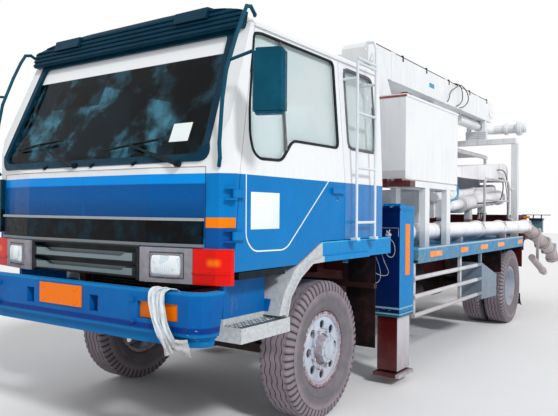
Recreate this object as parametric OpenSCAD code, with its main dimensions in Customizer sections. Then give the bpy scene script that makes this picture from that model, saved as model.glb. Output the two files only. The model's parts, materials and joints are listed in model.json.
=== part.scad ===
// Truck mounted concrete pump with a three section placing boom.
// +X is the vehicle's left side, +Y its rear, and Z = 0 is the ground.

/* [Overall] */
// Length over the front bumper and the rear step
overall_l = 9400; // [9300:10:9500]
// Distance between the axles
wheelbase = 5130; // [5080:10:5180]
// Front panel of the cab to the front axle
front_overhang = 1375; // [1365:5:1400]
// Front panel of the cab to the face of the bumper
bumper_reach = 170; // [150:5:190]

/* [Wheels] */
// Outer radius of every tyre
tyre_r = 518; // [510:1:522]
// Width of one tyre over its side walls
tyre_w = 272; // [262:1:276]
// Radius over the rim flange
rim_r = 284; // [276:1:290]
// Distance between the middles of the front tyres
front_track = 1950; // [1930:5:1960]
// Distance between the middles of the rear tyre pairs
rear_track = 1770; // [1760:5:1780]
// Distance between the middles of two twinned tyres
twin_pitch = 312; // [306:1:320]
// Distance between the king pins
king_pin_span = 1600; // [1580:5:1610]

/* [Cab] */
// Width of the cab at its waist line
cab_w = 2380; // [2360:5:2390]
// Width of the cab at its roof gutters
cab_roof_w = 2220; // [2200:5:2240]
// Front panel to the back wall
cab_l = 2225; // [2215:5:2230]
// Height of the cab floor's underside
floor_z = 1150; // [1140:2:1160]
// Height of the waist line
waist_z = 1780; // [1770:5:1790]
// Height of the bottom edge of the windscreen
cowl_z = 1880; // [1870:5:1890]
// Height of the roof gutters
gutter_z = 2750; // [2740:5:2760]
// Height of the roof's crown
roof_z = 2850; // [2840:2:2856]
// Thickness of a wall, a door or the roof
cab_wall = 45; // [40:1:50]
// Height of the sill under the doors
sill_z = 1200; // [1195:1:1210]
// Height of the wheel arch band over the front tyre
arch_z = 1350; // [1345:1:1360]
// Rear edge of a door, behind the front panel
door_rear = 1500; // [1490:5:1510]
// Gap round a door
door_gap = 6; // [5:0.5:8]
// Thickness of the window glass
glass_t = 6; // [5:0.5:8]

/* [Chassis] */
// Width over the two frame rails
frame_w = 840; // [820:5:850]
// Height of the top of the frame rails
frame_z = 985; // [975:5:995]
// Depth of a frame rail
rail_h = 235; // [220:5:245]
// Height of the floor of the deck
deck_z = 1200; // [1195:1:1210]
// Width over the deck's side rails
deck_w = 2400; // [2380:5:2410]
// Height of the deck's side rail
side_rail_h = 150; // [130:5:160]
// Front end of the deck, behind the front panel
deck_front = 2960; // [2940:5:2980]
// Rear end of the deck's side rails, behind the front panel
deck_rear = 7050; // [7030:5:7080]

/* [Outriggers] */
// Side of the square jack housing along the truck
jack_l = 320; // [310:2:330]
// Side of the square jack housing across the truck
jack_w = 250; // [240:2:260]
// Height of the bottom of the jack housing
jack_z0 = 620; // [610:5:640]
// Height of the top of the jack housing
jack_z1 = 1620; // [1600:5:1640]
// Middle of the jacks, behind the front panel
jack_at = 2630; // [2620:5:2640]
// Clearance between sliding sections
slide_gap = 6; // [5:0.5:8]

/* [Boom] */
// Middle of the slewing column, behind the front panel
column_at = 3780; // [3760:5:3800]
// Height of the pivot of the first boom section
root_z = 3225; // [3215:5:3235]
// Depth of the first boom section
boom_h = 330; // [320:2:340]
// Width of the first boom section
boom_w = 330; // [320:2:340]
// Height of the underside of the first boom section
boom_z = 3110; // [3105:1:3120]
// Length of the first section from its pivot to its hinge
boom_1_l = 4480; // [4440:10:4500]
// Length of the second section from hinge to hinge
boom_2_l = 4050; // [4000:10:4080]
// Length of the third section from its hinge to its tip
boom_3_l = 3900; // [3850:10:3920]
// Outer radius of the concrete pipe along the deck
pipe_r = 98; // [92:1:100]
// Outer radius of the concrete pipe on the boom
boom_pipe_r = 66; // [62:1:70]

/* [Pump] */
// Length of a concrete cylinder
cylinder_l = 1900; // [1850:10:1950]
// Radius of a concrete cylinder
cylinder_r = 98; // [94:1:102]
// Width of the hopper's rim
hopper_w = 1500; // [1450:10:1540]
// Height of the hopper's rim
hopper_z = 1500; // [1490:5:1510]

/* [Hidden] */
$fn = 48;

// Places along the truck, from the front panel of the cab
cab_y = bumper_reach - overall_l / 2;
front_axle_y = cab_y + front_overhang;
rear_axle_y = front_axle_y + wheelbase;
rear_end_y = overall_l / 2;
jack_y = cab_y + jack_at;
column_y = cab_y + column_at;
deck_y0 = cab_y + deck_front;
deck_y1 = cab_y + deck_rear;

// Running clearance of a pin or a shaft in its hole
run = 0.05;
// Distance kept between two parts that are not joined
seat = 0.3;

// Box from its low and high corner on each axis
module block(x, y, z) {
    translate([x[0], y[0], z[0]]) cube([x[1] - x[0], y[1] - y[0], z[1] - z[0]]);
}

// Outline in Y and Z, drawn out from x0 to x1
module prism_x(points, x0, x1) {
    translate([x0, 0, 0]) rotate([90, 0, 90]) linear_extrude(x1 - x0) polygon(points);
}

// Outline in X and Z, drawn out from y0 to y1
module prism_y(points, y0, y1) {
    translate([0, y1, 0]) rotate([90, 0, 0]) linear_extrude(y1 - y0) polygon(points);
}

// Outline in X and Y, drawn out from z0 to z1
module prism_z(points, z0, z1) {
    translate([0, 0, z0]) linear_extrude(z1 - z0) polygon(points);
}

// What stands on the left side, again on the right
module both_sides() {
    children();
    mirror([1, 0, 0]) children();
}

// Round bar between two points
module bar(a, b, r) {
    d = b - a;
    flat = norm([d[0], d[1]]);
    translate(a) rotate([0, atan2(flat, d[2]), atan2(d[1], d[0])]) cylinder(h = norm(d), r = r);
}

// Round bar along X
module bar_x(x, y, z, r) {
    translate([x[0], y, z]) rotate([0, 90, 0]) cylinder(h = x[1] - x[0], r = r);
}

// Round bar along Y
module bar_y(x, y, z, r) {
    translate([x, y[1], z]) rotate([90, 0, 0]) cylinder(h = y[1] - y[0], r = r);
}

// Round tube through the points in p, with a small ball at each bend
module tube(p, r) {
    for (i = [0 : len(p) - 2])
        bar(p[i], p[i + 1], r);
    for (i = [1 : len(p) - 2])
        translate(p[i]) sphere(r = r + 1);
}

// Bend of a round pipe in its own X and Y plane, about the origin, from angle a0 to a1
module bend(reach, r, a0, a1) {
    rotate([0, 0, a0]) rotate_extrude(angle = a1 - a0) translate([reach, 0]) circle(r = r - 1.5);
}

// Wheels

// Side of the tyre, as radius and distance from its middle plane
function tyre_outline() = let (w = tyre_w / 2, b = rim_r - 14) [
    [b, -w + 46], [rim_r + 1, -w + 46], [rim_r + 10, -w + 22], [b + 80, -w], [tyre_r - 70, -w + 2], [tyre_r - 22, -w + 14],
    [tyre_r, -w + 30], [tyre_r, -w + 78], [tyre_r - 12, -w + 82], [tyre_r - 12, -w + 92],
    [tyre_r, -w + 96], [tyre_r, -8], [tyre_r - 12, -5], [tyre_r - 12, 5], [tyre_r, 8],
    [tyre_r, w - 96], [tyre_r - 12, w - 92], [tyre_r - 12, w - 82], [tyre_r, w - 78],
    [tyre_r, w - 30], [tyre_r - 22, w - 14], [tyre_r - 70, w - 2], [b + 80, w],
    [rim_r + 10, w - 22], [rim_r + 1, w - 46], [b, w - 46]
];

// A shape drawn round Z, laid along X on an axle
module on_axle(x, y) {
    translate([x, y, tyre_r]) rotate([0, 90, 0]) children();
}

module tyre(x, y) {
    color([0.07, 0.07, 0.07]) on_axle(x, y) rotate_extrude() polygon(tyre_outline());
}

// Width of the seat of the tyre on the rim
bead_w = 190;
// Thickness of the rim and its disc
rim_t = 12;
// Radius of the hub
hub_r = 128;
// Radius of the spindle
spindle_r = 34;

// Rim and disc, with the disc's face at the distance face from the middle of the tyre
module rim(face) {
    b = rim_r - 14.3;
    difference() {
        union() {
            difference() {
                union() {
                    translate([0, 0, -bead_w / 2]) cylinder(h = bead_w, r = b);
                    for (s = [-1, 1])
                        translate([0, 0, s * (bead_w / 2 + 4) - 6]) cylinder(h = 12, r = rim_r);
                }
                translate([0, 0, -bead_w]) cylinder(h = 2 * bead_w, r = b - rim_t);
            }
            translate([0, 0, face - rim_t]) cylinder(h = rim_t, r = b - rim_t + 1);
        }
        for (a = [0 : 45 : 315])
            rotate([0, 0, a]) translate([188, 0, face - 2 * rim_t]) cylinder(h = 3 * rim_t, r = 33);
        translate([0, 0, face - 2 * rim_t]) cylinder(h = 3 * rim_t, r = hub_r - 10);
    }
}

// Hub drum with its stud ring and cap, closed on its outer end
module hub(z0, z1, ring_z) {
    difference() {
        union() {
            translate([0, 0, z0]) cylinder(h = z1 - z0, r = 96);
            translate([0, 0, ring_z - 16]) cylinder(h = 16, r = 158);
            for (a = [22.5 : 45 : 337.5])
                rotate([0, 0, a]) translate([143, 0, ring_z]) cylinder(h = 34, r = 14, $fn = 6);
        }
        translate([0, 0, z0 - 1]) cylinder(h = z1 - z0 - 40, r = spindle_r + run);
    }
}

// Outer face of the front disc, from the middle of the tyre
front_face = 96;
// Outer face of the rear discs, from the middle of their tyres
rear_face = 20;

module rim_front(side) {
    color([0.62, 0.63, 0.62]) mirror([side < 0 ? 1 : 0, 0, 0])
        on_axle(front_track / 2, front_axle_y) {
            rim(front_face);
            hub(-60, 150, front_face - rim_t);
            difference() {
                translate([0, 0, -90]) cylinder(h = 85, r = 165);
                translate([0, 0, -91]) cylinder(h = 60, r = 145);
                translate([0, 0, -91]) cylinder(h = 100, r = 60);
            }
        }
}

module rim_rear(side) {
    color([0.5, 0.5, 0.5]) mirror([side < 0 ? 1 : 0, 0, 0]) {
        on_axle((rear_track + twin_pitch) / 2, rear_axle_y) rim(-80);
        on_axle((rear_track - twin_pitch) / 2, rear_axle_y) mirror([0, 0, 1]) rim(-80);
        on_axle(rear_track / 2, rear_axle_y) hub(-140, 150, 66);
        on_axle(rear_track / 2, rear_axle_y) difference() {
            translate([0, 0, -76]) cylinder(h = 152 - 14, r = 150);
            translate([0, 0, -150]) cylinder(h = 290, r = 90);
        }
    }
}

// Axles and running gear

king_pin_r = 24;
// Middle of the axle beam, under the wheel centre
beam_drop = 60;
spring_w = 80;

module leaf_spring(x, y, z, l, leaves) {
    for (i = [0 : leaves - 1])
        block([x - spring_w / 2, x + spring_w / 2],
              [y - l / 2 + i * l * 0.075, y + l / 2 - i * l * 0.075],
              [z - (i + 1) * 12, z - i * 12 + 0.01]);
}

module front_axle() {
    hanger_x = [frame_w / 2 + seat, frame_w / 2 + 50];
    beam_z = tyre_r - beam_drop;
    x1 = king_pin_span / 2;
    spring_z = tyre_r + 110;
    union() {
        block([-x1 + 30, x1 - 30], [front_axle_y - 40, front_axle_y + 40], [beam_z - 40, beam_z + 30]);
        both_sides() {
            translate([x1, front_axle_y, beam_z - 50]) cylinder(h = 110, r = 46);
            translate([x1, front_axle_y, tyre_r - 160]) cylinder(h = 320, r = king_pin_r);
            leaf_spring(frame_w / 2 + 5, front_axle_y, spring_z, 1300, 5);
            block([frame_w / 2 - 40, frame_w / 2 + 50], [front_axle_y - 45, front_axle_y + 45], [beam_z + 30, spring_z - 59]);
            for (e = [-1, 1])
                block(hanger_x,
                      [front_axle_y + e * 650 - 30, front_axle_y + e * 650 + 30],
                      [spring_z - 12, frame_z - rail_h + 60 - seat]);
        }
    }
}

// Stub axle that turns on the king pin, with its steering arm
module knuckle(side) {
    x = king_pin_span / 2;
    color([0.15, 0.15, 0.15]) mirror([side < 0 ? 1 : 0, 0, 0]) difference() {
        union() {
            for (z = [tyre_r - 150, tyre_r + 62])
                translate([x, front_axle_y, z]) cylinder(h = 39, r = 44);
            block([x + 15, x + 62], [front_axle_y - 42, front_axle_y + 42], [tyre_r - 150, tyre_r + 110]);
            on_axle(x + 60, front_axle_y) cylinder(h = 215, r = spindle_r);
            on_axle(x + 50, front_axle_y) cylinder(h = 30, r = 150);
            block([x - 20, x + 20], [front_axle_y + 20, front_axle_y + 210], [tyre_r - 148, tyre_r - 118]);
        }
        translate([x, front_axle_y, 0]) cylinder(h = 2 * tyre_r, r = king_pin_r + run);
        translate([x, front_axle_y, tyre_r - 111]) cylinder(h = 173, r = 52);
    }
}

module rear_axle() {
    hanger_x = [frame_w / 2 + seat, frame_w / 2 + 50];
    spring_z = tyre_r + 160;
    x = rear_track / 2 - 175;
    union() {
        bar_x([-x, x], rear_axle_y, tyre_r, 75);
        bar_y(0, [rear_axle_y - 95, rear_axle_y + 80], tyre_r, 212);
        translate([0, rear_axle_y + 79, tyre_r]) rotate([-90, 0, 0]) cylinder(h = 75, r1 = 190, r2 = 110);
        translate([0, rear_axle_y - 94, tyre_r + 30]) rotate([90, 0, 0]) cylinder(h = 236, r1 = 150, r2 = 75);
        both_sides() {
            on_axle(x - 10, rear_axle_y) cylinder(h = 30, r = 120);
            on_axle(x, rear_axle_y) cylinder(h = 240, r = spindle_r);
            leaf_spring(frame_w / 2 + 5, rear_axle_y, spring_z, 1400, 6);
            block([frame_w / 2 - 40, frame_w / 2 + 50], [rear_axle_y - 60, rear_axle_y + 60], [tyre_r, spring_z - 71]);
            for (e = [-1, 1])
                block(hanger_x,
                      [rear_axle_y + e * 700 - 30, rear_axle_y + e * 700 + 30],
                      [spring_z - 12, frame_z - rail_h + 60 - seat]);
        }
    }
}

// Front beam with its king pins and rear drive axle, both on leaf springs
module axles() {
    color([0.12, 0.12, 0.12]) {
        front_axle();
        rear_axle();
    }
}

// Engine, gearbox and propeller shaft
module drive_line() {
    engine_y0 = cab_y + 430;
    engine_y1 = cab_y + 1750;
    z = tyre_r + 200;
    color([0.25, 0.24, 0.24]) union() {
        block([-300, 300], [engine_y0, engine_y1], [660, 1100]);
        block([-200, 200], [engine_y1, engine_y1 + 650], [620, 960]);
        bar([0, engine_y1 + 640, z], [0, rear_axle_y - 332.2, tyre_r + 42], 45);
    }
}

// Rear end of the frame rails
frame_y1 = rear_end_y - 1130;

module chassis_frame() {
    z0 = frame_z - rail_h;
    t = 8;
    f = 80;
    y0 = cab_y + 60;
    y1 = frame_y1;
    x = frame_w / 2;
    crossings = [cab_y + 120, cab_y + 2500, cab_y + 4000, cab_y + 5300, y1 - 800, y1 - 100];
    color([0.32, 0.06, 0.05]) union() {
        both_sides() prism_y([
            [x - f, z0], [x, z0], [x, frame_z], [x - f, frame_z], [x - f, frame_z - t],
            [x - t, frame_z - t], [x - t, z0 + t], [x - f, z0 + t]
        ], y0, y1);
        for (c = crossings)
            block([-x + t / 2, x - t / 2], [c - 45, c + 45], [z0 + 40, frame_z - 40]);
        both_sides() {
            for (y = [front_axle_y - 650, front_axle_y + 650, rear_axle_y - 700, rear_axle_y + 700])
                block([x - 30, x + 40], [y - 45, y + 45], [z0 + 60, z0 + 150]);
            block([x - 30, x + 160], [cab_y + 250, cab_y + 330], [frame_z - 185, frame_z - 125]);
            for (y = [cab_y + 300, cab_y + 1950])
                block([x - 75, x - 5], [y, y + 90], [frame_z - 1, floor_z - seat]);
        }
    }
}

// Fuel tank on the right, air tanks and battery box on the left
module chassis_tanks() {
    x0 = frame_w / 2 + 40;
    y0 = cab_y + 3350;
    color([0.2, 0.2, 0.21]) union() {
        bar_y(-x0 - 290, [y0, y0 + 1150], 680, 270);
        for (y = [y0 + 150, y0 + 950])
            block([-x0 - 120, -frame_w / 2 - seat], [y, y + 60], [760, 900]);
        for (z = [640, 840])
            bar_y(x0 + 150, [y0 + 150, y0 + 1000], z, 95);
        for (y = [y0 + 300, y0 + 800])
            block([frame_w / 2 + seat, x0 + 120], [y, y + 50], [600, 880]);
    }
}

// Cab

// Half outline of the cab seen from ahead, drawn in by inset
function cab_front_outline(inset) = let (
    w = cab_w / 2 - inset, g = cab_roof_w / 2 - inset, z0 = floor_z + inset, top = roof_z - inset
) [
    [-w, z0], [w, z0], [w, waist_z], [g, gutter_z - inset], [g - 60, top - 42], [g - 190, top - 10],
    [0, top], [-g + 190, top - 10], [-g + 60, top - 42], [-g, gutter_z - inset], [-w, waist_z]
];

// Outline of the cab seen from the side
function cab_side_outline(inset) = let (y0 = cab_y + inset, y1 = cab_y + cab_l - inset, z0 = floor_z + inset) [
    [y0, z0], [y1, z0], [y1, gutter_z - inset], [y1 - 45, roof_z - inset - 34], [y1 - 130, roof_z - inset],
    [y0 + 640, roof_z - inset], [y0 + 470, roof_z - inset - 28], [y0 + 400, gutter_z - inset],
    [y0 + 40, cowl_z - 10], [y0, cowl_z - 70]
];

// Outline of the cab seen from above
function cab_plan_outline(inset) = let (w = cab_w / 2 - inset, y0 = cab_y + inset, y1 = cab_y + cab_l - inset) [
    [-w, y0 + 165], [-w + 70, y0 + 92], [-w + 230, y0 + 62], [-620, y0 + 4], [0, y0],
    [620, y0 + 4], [w - 230, y0 + 62], [w - 70, y0 + 92], [w, y0 + 165],
    [w, y1 - 60], [w - 60, y1], [-w + 60, y1], [-w, y1 - 60]
];

module cab_volume(inset) {
    intersection() {
        prism_y(cab_front_outline(inset), cab_y - 10, cab_y + cab_l + 10);
        prism_x(cab_side_outline(inset), -cab_w, cab_w);
        prism_z(cab_plan_outline(inset), floor_z - 10, roof_z + 10);
    }
}

module cab_shell(outer, inner) {
    difference() {
        cab_volume(outer);
        cab_volume(inner);
    }
}

// Front and rear slope of the door's front edge above the waist
pillar_run = 290;
door_front = 150;

// Outline of the left door in Y and Z, drawn in by inset
function door_outline(inset) = let (f = cab_y + door_front + inset, r = cab_y + door_rear - inset) [
    [f, sill_z + inset], [cab_y + 830, sill_z + inset], [cab_y + 1160, arch_z + inset], [r, arch_z + inset],
    [r, gutter_z - 22 - inset], [f + pillar_run, gutter_z - 22 - inset], [f + 60, waist_z + 30]
];

// Outline of the door's window
function door_window() = [for (p = [
    [425, 2690], [500, 2706], [1430, 2706], [1430, 2045], [800, 2040], [655, 1895], [410, 1890],
    [345, 1930], [320, 2030], [335, 2220]
]) [cab_y + p[0], p[1]]];

// Outline of the window behind the door
function quarter_window() = [for (p = [[1590, 2060], [2080, 2060], [2060, 2690], [1590, 2690]])
    [cab_y + p[0], p[1]]];

module cab_floor() {
    w = cab_w / 2 - cab_wall;
    y0 = cab_y + cab_wall + 80;
    y1 = cab_y + cab_l - cab_wall;
    color([0.1, 0.1, 0.11]) difference() {
        union() {
            block([-w + 2, w - 2], [y0 + 80, y1 - 1], [floor_z, floor_z + 40]);
            block([-380, 380], [y0 + 240, cab_y + 1900], [floor_z + 39, 1420]);
            both_sides() block([cab_w / 2 - cab_wall, cab_w / 2], [cab_y + 200, cab_y + 690], [floor_z, sill_z - door_gap]);
            both_sides() block([cab_w / 2 - cab_wall - 40, cab_w / 2 - cab_wall + 1], [cab_y + 220, cab_y + 690], [floor_z, floor_z + 30]);
        }
        block([-330, 330], [y0 + 239, cab_y + 1850], [floor_z - 1, 1380]);
        both_sides() block([cab_w / 2 - 300, cab_w], [cab_y + 700, cab_y + cab_l + 1], [floor_z - 1, floor_z + 60]);
    }
}

// Opening of the windscreen, seen from ahead, drawn in by d
function screen_outline(d) = let (
    low = cab_w / 2 - 155 - d, high = cab_roof_w / 2 - 130 - d, z0 = cowl_z + d, z1 = gutter_z - 36 - d, r = 75
) concat(
    [for (a = [0 : 30 : 90]) [-high + 30 - 30 * sin(a), z1 - 30 + 30 * cos(a)]],
    [for (a = [0 : 22.5 : 90]) [-low + r - r * cos(a), z0 + r - r * sin(a)]],
    [for (a = [0 : 22.5 : 90]) [low - r + r * sin(a), z0 + r - r * cos(a)]],
    [for (a = [0 : 30 : 90]) [high - 30 + 30 * cos(a), z1 - 30 + 30 * sin(a)]]
);

// Grille opening in the front panel
grille_x = 560;
grille_z = [1125, 1342];

module cab_front() {
    color([0.05, 0.2, 0.6]) difference() {
        cab_shell(0, cab_wall);
        block([-cab_w, cab_w], [cab_y + 500, cab_y + cab_l + 10], [0, 4000]);
        block([-cab_w, cab_w], [cab_y - 10, cab_y + 600], [gutter_z - 22, 4000]);
        prism_x(door_outline(-door_gap), -cab_w, cab_w);
        prism_y(screen_outline(0), cab_y - 10, cab_y + 600);
        block([-grille_x, grille_x], [cab_y - 10, cab_y + 120], [floor_z - 20, grille_z[1]]);
        block([-cab_w, cab_w], [cab_y + door_front, cab_y + 600], [0, sill_z + 4]);
    }
    color([0.05, 0.2, 0.6]) both_sides() for (z = hinge_z) {
        translate([hinge_x, hinge_y, z - 14]) cylinder(h = 78, r = hinge_pin_r);
        for (e = [z - 14, z + 52])
            prism_z([[hinge_x - 60, hinge_y - 8], [hinge_x - 40, hinge_y - 40], [hinge_x + 12, hinge_y - 14],
                     [hinge_x + 14, hinge_y + 6], [hinge_x - 12, hinge_y + 6]], e, e + 12);
    }
}

module cab_roof() {
    color([0.93, 0.94, 0.95]) union() {
        difference() {
            cab_shell(0, cab_wall);
            block([-cab_w, cab_w], [cab_y - 10, cab_y + cab_l + 10], [0, gutter_z - 22 + seat]);
        }
        both_sides() block([cab_roof_w / 2 - 1, cab_roof_w / 2 + 14], [cab_y + 430, cab_y + cab_l - 70], [gutter_z - 12, gutter_z + 6]);
    }
}

// Back wall with the panels behind the doors and their windows
module cab_back() {
    color([0.93, 0.94, 0.95]) difference() {
        cab_shell(0, cab_wall);
        block([-cab_w, cab_w], [cab_y - 10, cab_y + door_rear + door_gap], [0, 4000]);
        block([-cab_w, cab_w], [cab_y, cab_y + cab_l - cab_wall - 1], [0, floor_z + cab_wall + 10]);
        block([-cab_w, cab_w], [cab_y, cab_y + cab_l + 10], [gutter_z - 22, 4000]);
        block([-420, 420], [cab_y, cab_y + cab_l + 10], [2080, 2560]);
        both_sides() block([cab_w / 2 - 300, cab_w], [cab_y, cab_y + cab_l + 10], [0, arch_z]);
        prism_x(quarter_window(), -cab_w, cab_w);
    }
}

// Hinge line of a door, and the height of its hinges
hinge_x = cab_w / 2 + 16;
hinge_y = cab_y + door_front - 14;
hinge_z = [1390, 1640];
hinge_r = 14;
hinge_pin_r = 7;

module door(side) {
    color([0.05, 0.4, 0.75]) mirror([side < 0 ? 1 : 0, 0, 0]) difference() {
        union() {
            intersection() {
                difference() {
                    cab_shell(0, cab_wall);
                    prism_x(door_window(), 0, cab_w);
                }
                prism_x(door_outline(0), cab_roof_w / 2 - 130, cab_w);
            }
            for (z = hinge_z) {
                block([hinge_x - 8, hinge_x + 8], [hinge_y, hinge_y + 90], [z, z + 50]);
                block([cab_w / 2 - 10, hinge_x - 2], [hinge_y + 62, hinge_y + 90], [z, z + 50]);
                translate([hinge_x, hinge_y, z]) cylinder(h = 50, r = hinge_r);
            }
            difference() {
                block([cab_w / 2 - 1, cab_w / 2 + 24], [cab_y + 1285, cab_y + 1470], [1698, 1738]);
                block([cab_w / 2 - 2, cab_w / 2 + 15], [cab_y + 1300, cab_y + 1440], [1690, 1726]);
            }
            bar_x([cab_w / 2 - 1, cab_w / 2 + 7], cab_y + 1385, 1660, 13);
        }
        for (z = hinge_z)
            translate([hinge_x, hinge_y, z - 1]) cylinder(h = 52, r = hinge_pin_r + run);
    }
}

module door_glass(side) {
    mid = cab_wall / 2;
    color([0.75, 0.85, 0.9, 0.4]) mirror([side < 0 ? 1 : 0, 0, 0]) intersection() {
        cab_shell(mid, mid + glass_t);
        prism_x(door_window(), cab_roof_w / 2 - 130, cab_w);
    }
}

// Windscreen, rear window and the windows behind the doors
module cab_glass() {
    mid = cab_wall / 2;
    color([0.7, 0.8, 0.85, 0.4]) intersection() {
        cab_shell(12, 12 + glass_t);
        prism_y(screen_outline(0), cab_y - 10, cab_y + 470);
    }
    color([0.7, 0.8, 0.85, 0.4]) intersection() {
        cab_shell(mid, mid + glass_t);
        union() {
            both_sides() prism_x(quarter_window(), cab_roof_w / 2 - 130, cab_w);
            block([-420, 420], [cab_y + cab_l - 200, cab_y + cab_l], [2080, 2560]);
        }
    }
}

module seats() {
    seat_y = cab_y + 1250;
    for (x = [-640, 640]) {
        block([x - 235, x + 235], [seat_y, seat_y + 480], [floor_z + 40 + seat, 1560]);
        prism_x([[seat_y + 360, 1559], [seat_y + 480, 1559], [seat_y + 600, 2200], [seat_y + 500, 2230]],
                x - 215, x + 215);
    }
}

module dashboard() {
    y1 = cab_y + 520;
    wheel_c = [640, cab_y + 690, 1720];
    union() {
        intersection() {
            cab_volume(cab_wall + seat);
            prism_x([[cab_y, 1560], [y1 - 90, 1500], [y1, 1640], [y1 - 20, 1760], [y1 - 180, 1810], [cab_y, 1800]],
                    -cab_w / 2 + 180, cab_w / 2 - 180);
        }
        bar([wheel_c[0], y1 - 60, 1560], wheel_c, 28);
        translate(wheel_c) rotate([-42, 0, 0]) {
            rotate_extrude() translate([225, 0]) circle(r = 15);
            for (a = [0, 120, 240]) rotate([0, 0, a]) translate([0, -14, -6]) cube([225, 28, 12]);
            translate([0, 0, -18]) cylinder(h = 40, r = 55);
        }
        block([wheel_c[0] - 25, wheel_c[0] + 25], [y1 - 110, y1 - 30], [1540, 1600]);
    }
}

module cab_interior() {
    color([0.16, 0.16, 0.17]) {
        seats();
        dashboard();
    }
}

// Ribbed panel over the windscreen, with its lamp blocks
module visor() {
    w = cab_roof_w / 2 - 34;
    y = cab_y;
    ribs = 5;
    face = [for (i = [0 : ribs - 1], k = [0 : 3])
        let (z = 2726 + i * 33, f = y + 338 + i * 6.5)
        [f - (k == 1 || k == 2 ? 9 : 0), z + [0, 3, 15, 18][k]]];
    intersection() {
        prism_x(concat([[y + 336, 2716]], face, [[y + 376, 2902], [y + 430, 2906], [y + 399, 2748], [y + 385.6, 2716]]), -w, w);
        prism_y([[-w, 2700], [w, 2700], [w, 2826], [w - 110, 2856], [w - 330, 2885], [w - 620, 2901], [0, 2906],
                 [-w + 620, 2901], [-w + 330, 2885], [-w + 110, 2856], [-w, 2826]], y, y + 600);
    }
    for (x = [-650, 650])
        prism_x([[y + 322, 2815], [y + 400, 2815], [y + 410, 2895], [y + 345, 2890]], x - 145, x + 145);
    difference() {
        for (x = [-0.8 * w : 0.4 * w : 0.8 * w])
            block([x - 15, x + 15], [y + 419, y + 620], [2820, 2866]);
        cab_volume(-seat);
    }
}

// Black trim of the cab's front: visor, name band without its letters, windscreen rubber and corner vane
module front_trim() {
    rubber = 24;
    lip = 9;
    color([0.03, 0.05, 0.06]) {
        visor();
        intersection() {
            cab_shell(-14, -seat);
            block([-1020, 1020], [cab_y - 20, cab_y + 200], [1362, 1500]);
        }
        intersection() {
            cab_shell(-32, -seat);
            block([-cab_w / 2 + 66, -cab_w / 2 + 145], [cab_y + 20, cab_y + 90], [1385, 1790]);
        }
        difference() {
            union() {
                intersection() {
                    cab_shell(-lip, -seat);
                    prism_y(screen_outline(-rubber), cab_y - 20, cab_y + 480);
                }
                intersection() {
                    cab_shell(-1, 12 - seat);
                    prism_y(screen_outline(seat), cab_y - 20, cab_y + 480);
                }
            }
            prism_y(screen_outline(rubber), cab_y - 20, cab_y + 480);
            block([-cab_w, cab_w], [cab_y, cab_y + 600], [2716 - seat, 3000]);
        }
    }
}

module grille() {
    y = cab_y;
    z0 = grille_z[0];
    z1 = grille_z[1] - seat;
    color([0.4, 0.42, 0.43]) union() {
        block([-grille_x + seat, grille_x - seat], [y + 46, y + 60], [z0, z1]);
        for (s = [-1, 1])
            block([s > 0 ? grille_x - 30 : -grille_x + seat, s > 0 ? grille_x - seat : -grille_x + 30], [y - 8, y + 47], [z0, z1]);
        block([-grille_x + 1, grille_x - 1], [y - 8, y + 47], [z1 - 14, z1]);
        for (z = [1140, 1232])
            prism_y([[-grille_x + 29, z], [grille_x - 29, z], [grille_x - 29, z + 66], [grille_x - 110, z + 66],
                     [grille_x - 170, z + 34], [-grille_x + 170, z + 34], [-grille_x + 110, z + 66], [-grille_x + 29, z + 66]],
                    y - 12, y + 47);
    }
    color([0.4, 0.42, 0.43]) intersection() {
        cab_shell(-22, -seat);
        union() {
            block([-1024, 1024], [y - 40, y + 200], [1500 + seat, 1518]);
            block([-1024, 1024], [y - 40, y + 200], [1344, 1362 - seat]);
        }
    }
}

// Headlamps in their square bezels
module lamps() {
    w = cab_w / 2;
    z0 = grille_z[0] - 3;
    z1 = grille_z[1] - 6;
    color([0.8, 0.82, 0.84]) both_sides() {
        difference() {
            prism_z([[574, cab_y - 18], [622, cab_y - 18], [w - 232, cab_y + 44], [w - 232, cab_y + 61.6 - seat],
                     [622, cab_y + 4.3 - seat], [574, cab_y + 3.6 - seat]], z0, z1);
            prism_z([[655, cab_y - 30], [w - 285, cab_y + 16], [w - 290, cab_y + 46], [650, cab_y - 0.5]], z0 + 26, z1 - 26);
        }
        prism_z([[668, cab_y - 14], [780, cab_y + 1], [w - 298, cab_y + 27], [w - 300, cab_y + 44.1 - seat], [664, cab_y + 2.1 - seat]],
                z0 + 36, z1 - 36);
    }
}

// Front face of the tail lamps and their inner and outer edge
tail_y = rear_end_y - 630;
tail_x = [950, 1150];
tail_z = [1235, 1440];

// Corner lamps, bumper lamps, blank plate and tail lamps
module signal_lamps() {
    y = cab_y;
    w = cab_w / 2;
    z = grille_z;
    color([0.85, 0.15, 0.05]) both_sides() {
        prism_z([[w - 228, y + 46], [w - 75, y + 72], [w - 4, y + 130], [w - 4, y + 160.6 - seat],
                 [w - 69.7, y + 91.9 - seat], [w - 228, y + 62 - seat]], z[0] - 3, z[1] - 6);
        prism_z([[w - 228, y + 38], [w - 72, y + 64], [w - 2, y + 121], [w - 2, y + 131], [w - 75, y + 73], [w - 228, y + 47]],
                z[0] + 62, z[0] + 76);
        block([722, 1028], [y - bumper_reach + 26, y - bumper_reach + 39.7], [932, 1028]);
        block(tail_x, [tail_y, tail_y + 70], tail_z);
    }
    color([0.12, 0.13, 0.14]) both_sides() {
        prism_x([[tail_y + 70, tail_z[1] + seat], [tail_y + 96, tail_z[1] + 10], [tail_y + 96, tail_z[1] + 40],
                 [tail_y - 40, tail_z[1] + 40], [tail_y - 40, tail_z[1] + seat]],
                tail_x[0] - 10, tail_x[1] + 8);
    }
    color([0.85, 0.45, 0.05])
        block([-215, 215], [y - bumper_reach - 9, y - bumper_reach - seat], [942, 1077]);
}

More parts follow.
